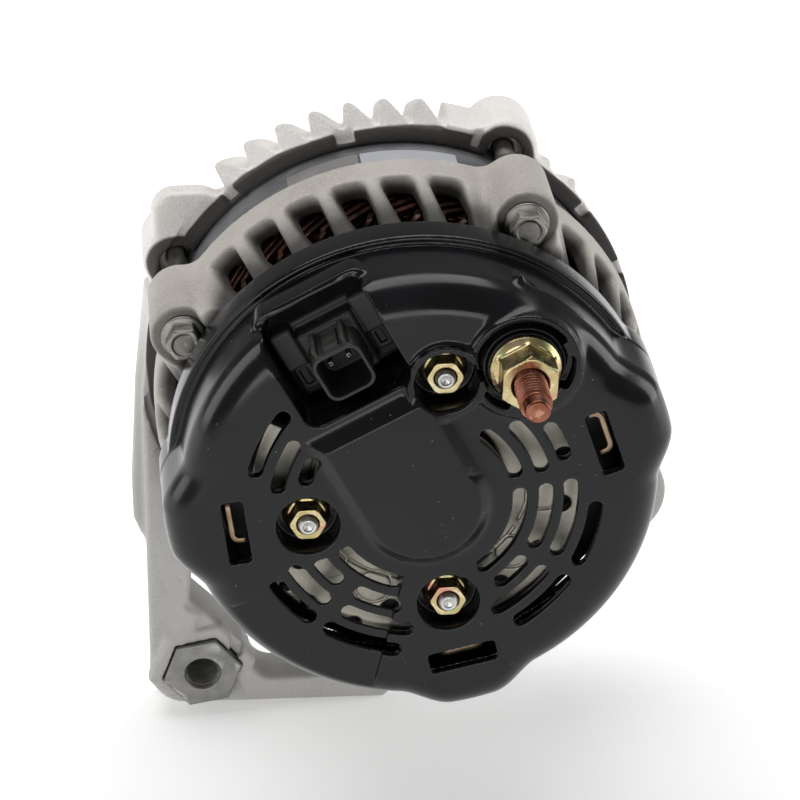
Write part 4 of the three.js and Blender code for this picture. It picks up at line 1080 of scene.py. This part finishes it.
def fin(degrees, tip):
    """A saw-tooth cooling fin that follows the shell's fall: steep on one side, a long slope on the other."""
    low = tip - 71.3
    points = [(57, -6.2), (64.2, -6.0), (66.2 + low / 2, -4.2), (69.6 + low, -1.6), (71 + low, -0.4),
              (71.2 + low, 0.6), (70.8 + low, 1.3), (69.8 + low, 1.7), (64.2, 2.3), (57, 2.4)]
    body = prism(outline(points), 57.6, 79, 0.4)

    def solid(x, s, z):
        out = x + np.interp(s, FRONT_FALL[0], FRONT_FALL[1])
        face = (58.2 - s + np.maximum(0, x - 65) * 0.8) * 0.78
        return -smooth_min(-np.maximum(body.distance(out, s, z), face), (tip - x - (s - 62.5) * 0.55) * 0.87, 1.2)

    return Shape(solid, (55, tip, 57.6, 79, -6.2, 2.4)).turned(degrees)


def make_front_housing():
    f = Field((-71.5, 49, -108.4), (77, 95, 72.4), 0.5)
    f.add(revolved([(40, 57), (64.4, 57), (64.4, 60), (61.8, 67), (58.8, 74), (56, 79), (51.2, 85), (40, 87),
                    (31, 88), (30, 94), (19, 94), (19, 75.5), (40, 75.5)]))
    f.add(*(fin(angle, tip) for tip, angles in FINS for angle in angles), k=1.2)
    f.add(*(rod(9.0, 57, 77, BOLT_RADIUS, 0, 3).turned(angle) for angle in BOLT_ANGLES), k=4)
    f.add(prism(band(58, 66.2, 66, 77.6), 57, 73, 1.2), k=2)
    f.add(prism(rounded(-62, -44, 16, 48.3, 6), 57, 64, 1.8), k=3)
    f.add(rod(14.5, 60, 74, *EAR, edge=1.2), k=2)
    f.add(prism(outline([(55, -28), (71.5, -36), (EAR[0], -63), (38, -56)]), 60, 74, 1), k=3)

    # The mounting arm: a plate with a foot, an outer rim and a window.
    arm = [(-50, 24), (-62.5, 22), (-66.6, -12), (-67.6, -93.6), *arc_points(-57.6, -95.6, 10, 180, 270),
           (-3, -107.2), (3.2, -100.6), (2, -50)]
    f.add(prism(outline(arm), 53, 67, 1.2), k=1.5)
    rim = [(-58, 17), (-64.5, 17), (-68, -12), (-70.3, -43), (-70.3, -52), (-68.5, -57), (-66, -60), (-58, -60)]
    f.add(prism(outline(rim, 1.5), 65, 75, 1.2), k=1.5)
    window = [(-55, -60), (-56.2, -71.5), (-42, -87), (-40.2, -93), *arc_points(-33.5, -92.5, 6.5, 180, 270),
              *arc_points(-19, -92.5, 6.5, 270, 360), (-12.5, -50)]
    f.cut(prism(outline(window), 40, 76), k=1.4)

    f.cut(revolved([(0, 40), (60.5, 40), (60.5, 62.8), (57.2, 62.8), (56.6, 72), (53.6, 78), (48.5, 82), (40, 83.5),
                    (28, 84), (28, 96), (0, 96)]))
    f.add(revolved([(23.8, 75.5), (31, 75.5), (31, 88), (30, 94), (19, 94), (19, 90.2), (23.8, 90.2)]), k=0.6)
    f.cut(rod(66.7, 40, 57))
    f.cut(*(prism(band(36, 52, 30 * i + 5, 30 * i + 25), 78, 90) for i in range(12)), k=1.2)
    f.add(rod(62.3, 56.9, 57.3))
    f.cut(rod(60.5, 40, 62.8))
    for angle in BOLT_ANGLES:
        f.cut(rod(4.6, 56, 61, BOLT_RADIUS, 0).turned(angle), k=0.8)
        f.cut(block(55, BOLT_RADIUS, 56, 59.5, -3.2, 3.2, 0.5).turned(angle), k=0.8)
        f.cut(rod(3, 56, 78, BOLT_RADIUS, 0).turned(angle))
    # Small notches in the band that faces the rear housing.
    for angle, width in ((70, 1.2), (101, 2.4), (131, 1.6), (38, 1.6), (20, 2.0), (8, 1.4)):
        f.cut(block(61.6, 67, 56, 58.2, -width, width, 0.3).turned(angle), k=0.6)
    for angle in (45, 135, 225, 315):
        f.cut(rod(2.3, 70, 82, 27.4, 0).turned(angle))
    seat = hexagon(26.5, 51.4, 56, 9.5, 1.5, *BUSH)

    def upper_half(x, s, z):
        return np.maximum(seat.distance(x, s, z), (BUSH[1] - 5 - z + (x - BUSH[0]) * 0.35) * 0.94)

    f.add(Shape(upper_half, seat.box), k=1.2)
    f.cut(block(-45.5, -42.5, 49, 53.4, -90, -80, 0.3), k=0.6)
    f.add(prism(outline([(-66.4, -92), (-62.5, -94), (-53.5, -76), (-57.5, -74)]), 51.8, 56, 0.8), k=2.4)
    f.cut(hexagon(19.6, 40, 90, 9.5, 0.1, *BUSH))
    f.cut(rod(5.2, 50, 80, *EAR), k=0.6)
    # Ejector pin marks on the arm.
    for x, z in ((-18.5, -103), (-60.3, -66.5)):
        f.cut(prism(ring_outline(x, z, 2.7, 0.25), 50, 53.3), k=0.3)
    return from_field("front_casting", f, 0.34)


def make_bush():
    f = Field((-12.5, 49.4, -12.5), (12.5, 69.2, 12.5), 0.2)
    f.add(hexagon(19, 50, 68.5, 9.5, 0.35))
    bore = thread(5.0, 0.7, 1.5, 40, 80)
    f.cut(bore, k=0.1)
    f.cut(revolved([(0, 49), (5.6, 49), (4.6, 50.9), (0, 51)]), k=0.2)
    return from_field("bush_sleeve", f, 0.4, offset=(BUSH[0], 0, BUSH[1]))


def make_bolt_field():
    f = Field((-6.3, 9.8, -6.3), (6.3, 76.5, 6.3), 0.2)
    f.add(revolved([(0, 10.4), (4.0, 10.4), (4.6, 10.9), (4.6, 15), (0, 15)]))
    hexa = hexagon(8, 9, 16, 0, 0.25)
    f.cut(Shape(lambda x, s, z: -hexa.distance(x, s, z), (-6.3, 6.3, 9.8, 16, -6.3, 6.3)))
    f.add(revolved([(0, 15.7), (5.6, 15.7), (5.7, 15.2), (5.5, 14.8), (4.4, 14.5), (0, 14.4)]), k=0.3)
    f.cut(prism(circle(0, 0, 2.9), 9, 10.7), k=0.3)
    f.add(rod(2.5, 15, 76))
    return f


dress(make_front_housing(), "front_casting", "housing", ["front_housing"])
dress(make_bush(), "bush_steel", "housing", ["mounting_bush"])
bolt_field = make_bolt_field()
for index, angle in enumerate(BOLT_ANGLES, 1):
    bolt_x, bolt_z = spot(BOLT_RADIUS, angle)
    bolt = from_field(f"bolt_{index}", bolt_field, 0.4, offset=(bolt_x, 0, bolt_z))
    dress(bolt, "bolt_steel", "housing", [f"through_bolt_{index}"])

# ------------------------------------------------------------------ pulley end


def make_pulley():
    radius, start, end, pitch = 29.0, 95.3, 118.0, 3.56
    first = (start + end) / 2 - 3 * pitch
    profile = [(8.8, start), (26.5, start), (27.5, start + 0.6), (29, first - 1.4), (29, first - 0.5)]
    for i in range(6):
        root, tip = first + pitch * (i + 0.5), first + pitch * (i + 1)
        profile += [(25.4, root - 0.35), (25.2, root), (25.4, root + 0.35)]
        if i < 5:
            profile += [(27.8, tip - 0.22), (28, tip), (27.8, tip + 0.22)]
    profile += [(29, end - 2.1), (29, end - 0.8), (28.4, end - 0.1), (27.8, end), (22, end), (21.4, end - 0.6),
                (20, 109.4), (18.6, 107.8), (8.8, 107.8)]
    return lathe("pulley_wheel", profile, 160, 30)


def make_pulley_nut():
    f = Field((-15, 107.6, -15), (15, 119.6, 15), 0.2)
    f.add(revolved([(0, 108.1), (13, 108.1), (13.9, 109), (13.9, 117.7), (12.2, 119.1), (0, 119.1)]))
    hexa = hexagon(24, 100, 125, 0, 0.4)
    f.cut(Shape(lambda x, s, z: -hexa.distance(x, s, z), (-15, 15, 107.6, 119.6, -15, 15)))
    f.cut(revolved([(0, 100), (8.2, 100), (8.2, 118.2), (9, 119.5), (0, 125)]), k=0.2)
    return from_field("shaft_nut", f, 0.4)


def make_shaft_end():
    """The whole shaft, threaded under the nut, with a socket in its end."""
    f = Field((-9.8, -20.6, -9.8), (9.8, 124.4, 9.8), 0.25)
    f.add(revolved([(0, -20), (4.2, -20), (4.2, 1.4), (7.5, 1.4), (7.5, 14), (9.2, 14.4), (9.2, 75.4), (8.5, 75.6),
                    (8.5, 107), (7.4, 107.6), (7.4, 122.6), (6.4, 124), (0, 124)]))
    f.add(thread(7.88, 0.7, 1.5, 107.6, 122.8), k=0.1)
    f.cut(hexagon(5, 118, 126, 0, 0.1), k=0.2)
    return from_field("shaft", f, 0.3)


dress(make_pulley(), "dark_steel", "rotor", ["pulley"])
dress(make_pulley_nut(), "steel", "rotor", ["pulley_nut"])
dress(make_shaft_end(), "steel", "rotor", ["rotor_shaft"])
dress(lathe("spacer", [(8.8, 90.1), (12.1, 90.1), (12.5, 90.5), (12.5, 94.6), (12.1, 95), (8.8, 95)], 96),
      "steel", "rotor", ["pulley_spacer"])

# ------------------------------------------------------------------ carried-over CAD nodes

SLOT_OF = {row["node"]: row["material_slot"] for row in frame["record"]["subparts"]}
SLOT_LOOK = {"cast_aluminium": "rear_casting"}
for node, carried in frame["nodes"].items():
    look = MATERIAL[SLOT_LOOK.get(SLOT_OF[node], SLOT_OF[node])]
    if not carried.material_slots:
        carried.data.materials.append(look)
    for material_slot in carried.material_slots:
        material_slot.material = look

# ------------------------------------------------------------------ floor and end

floor = make_object("floor", np.array([(-3000, -3000, -107.6), (3000, -3000, -107.6), (3000, 3000, -107.6),
                                       (-3000, 3000, -107.6)]), np.array([(0, 1, 2, 3)]))
floor.data.materials.append(MATERIAL["floor"])
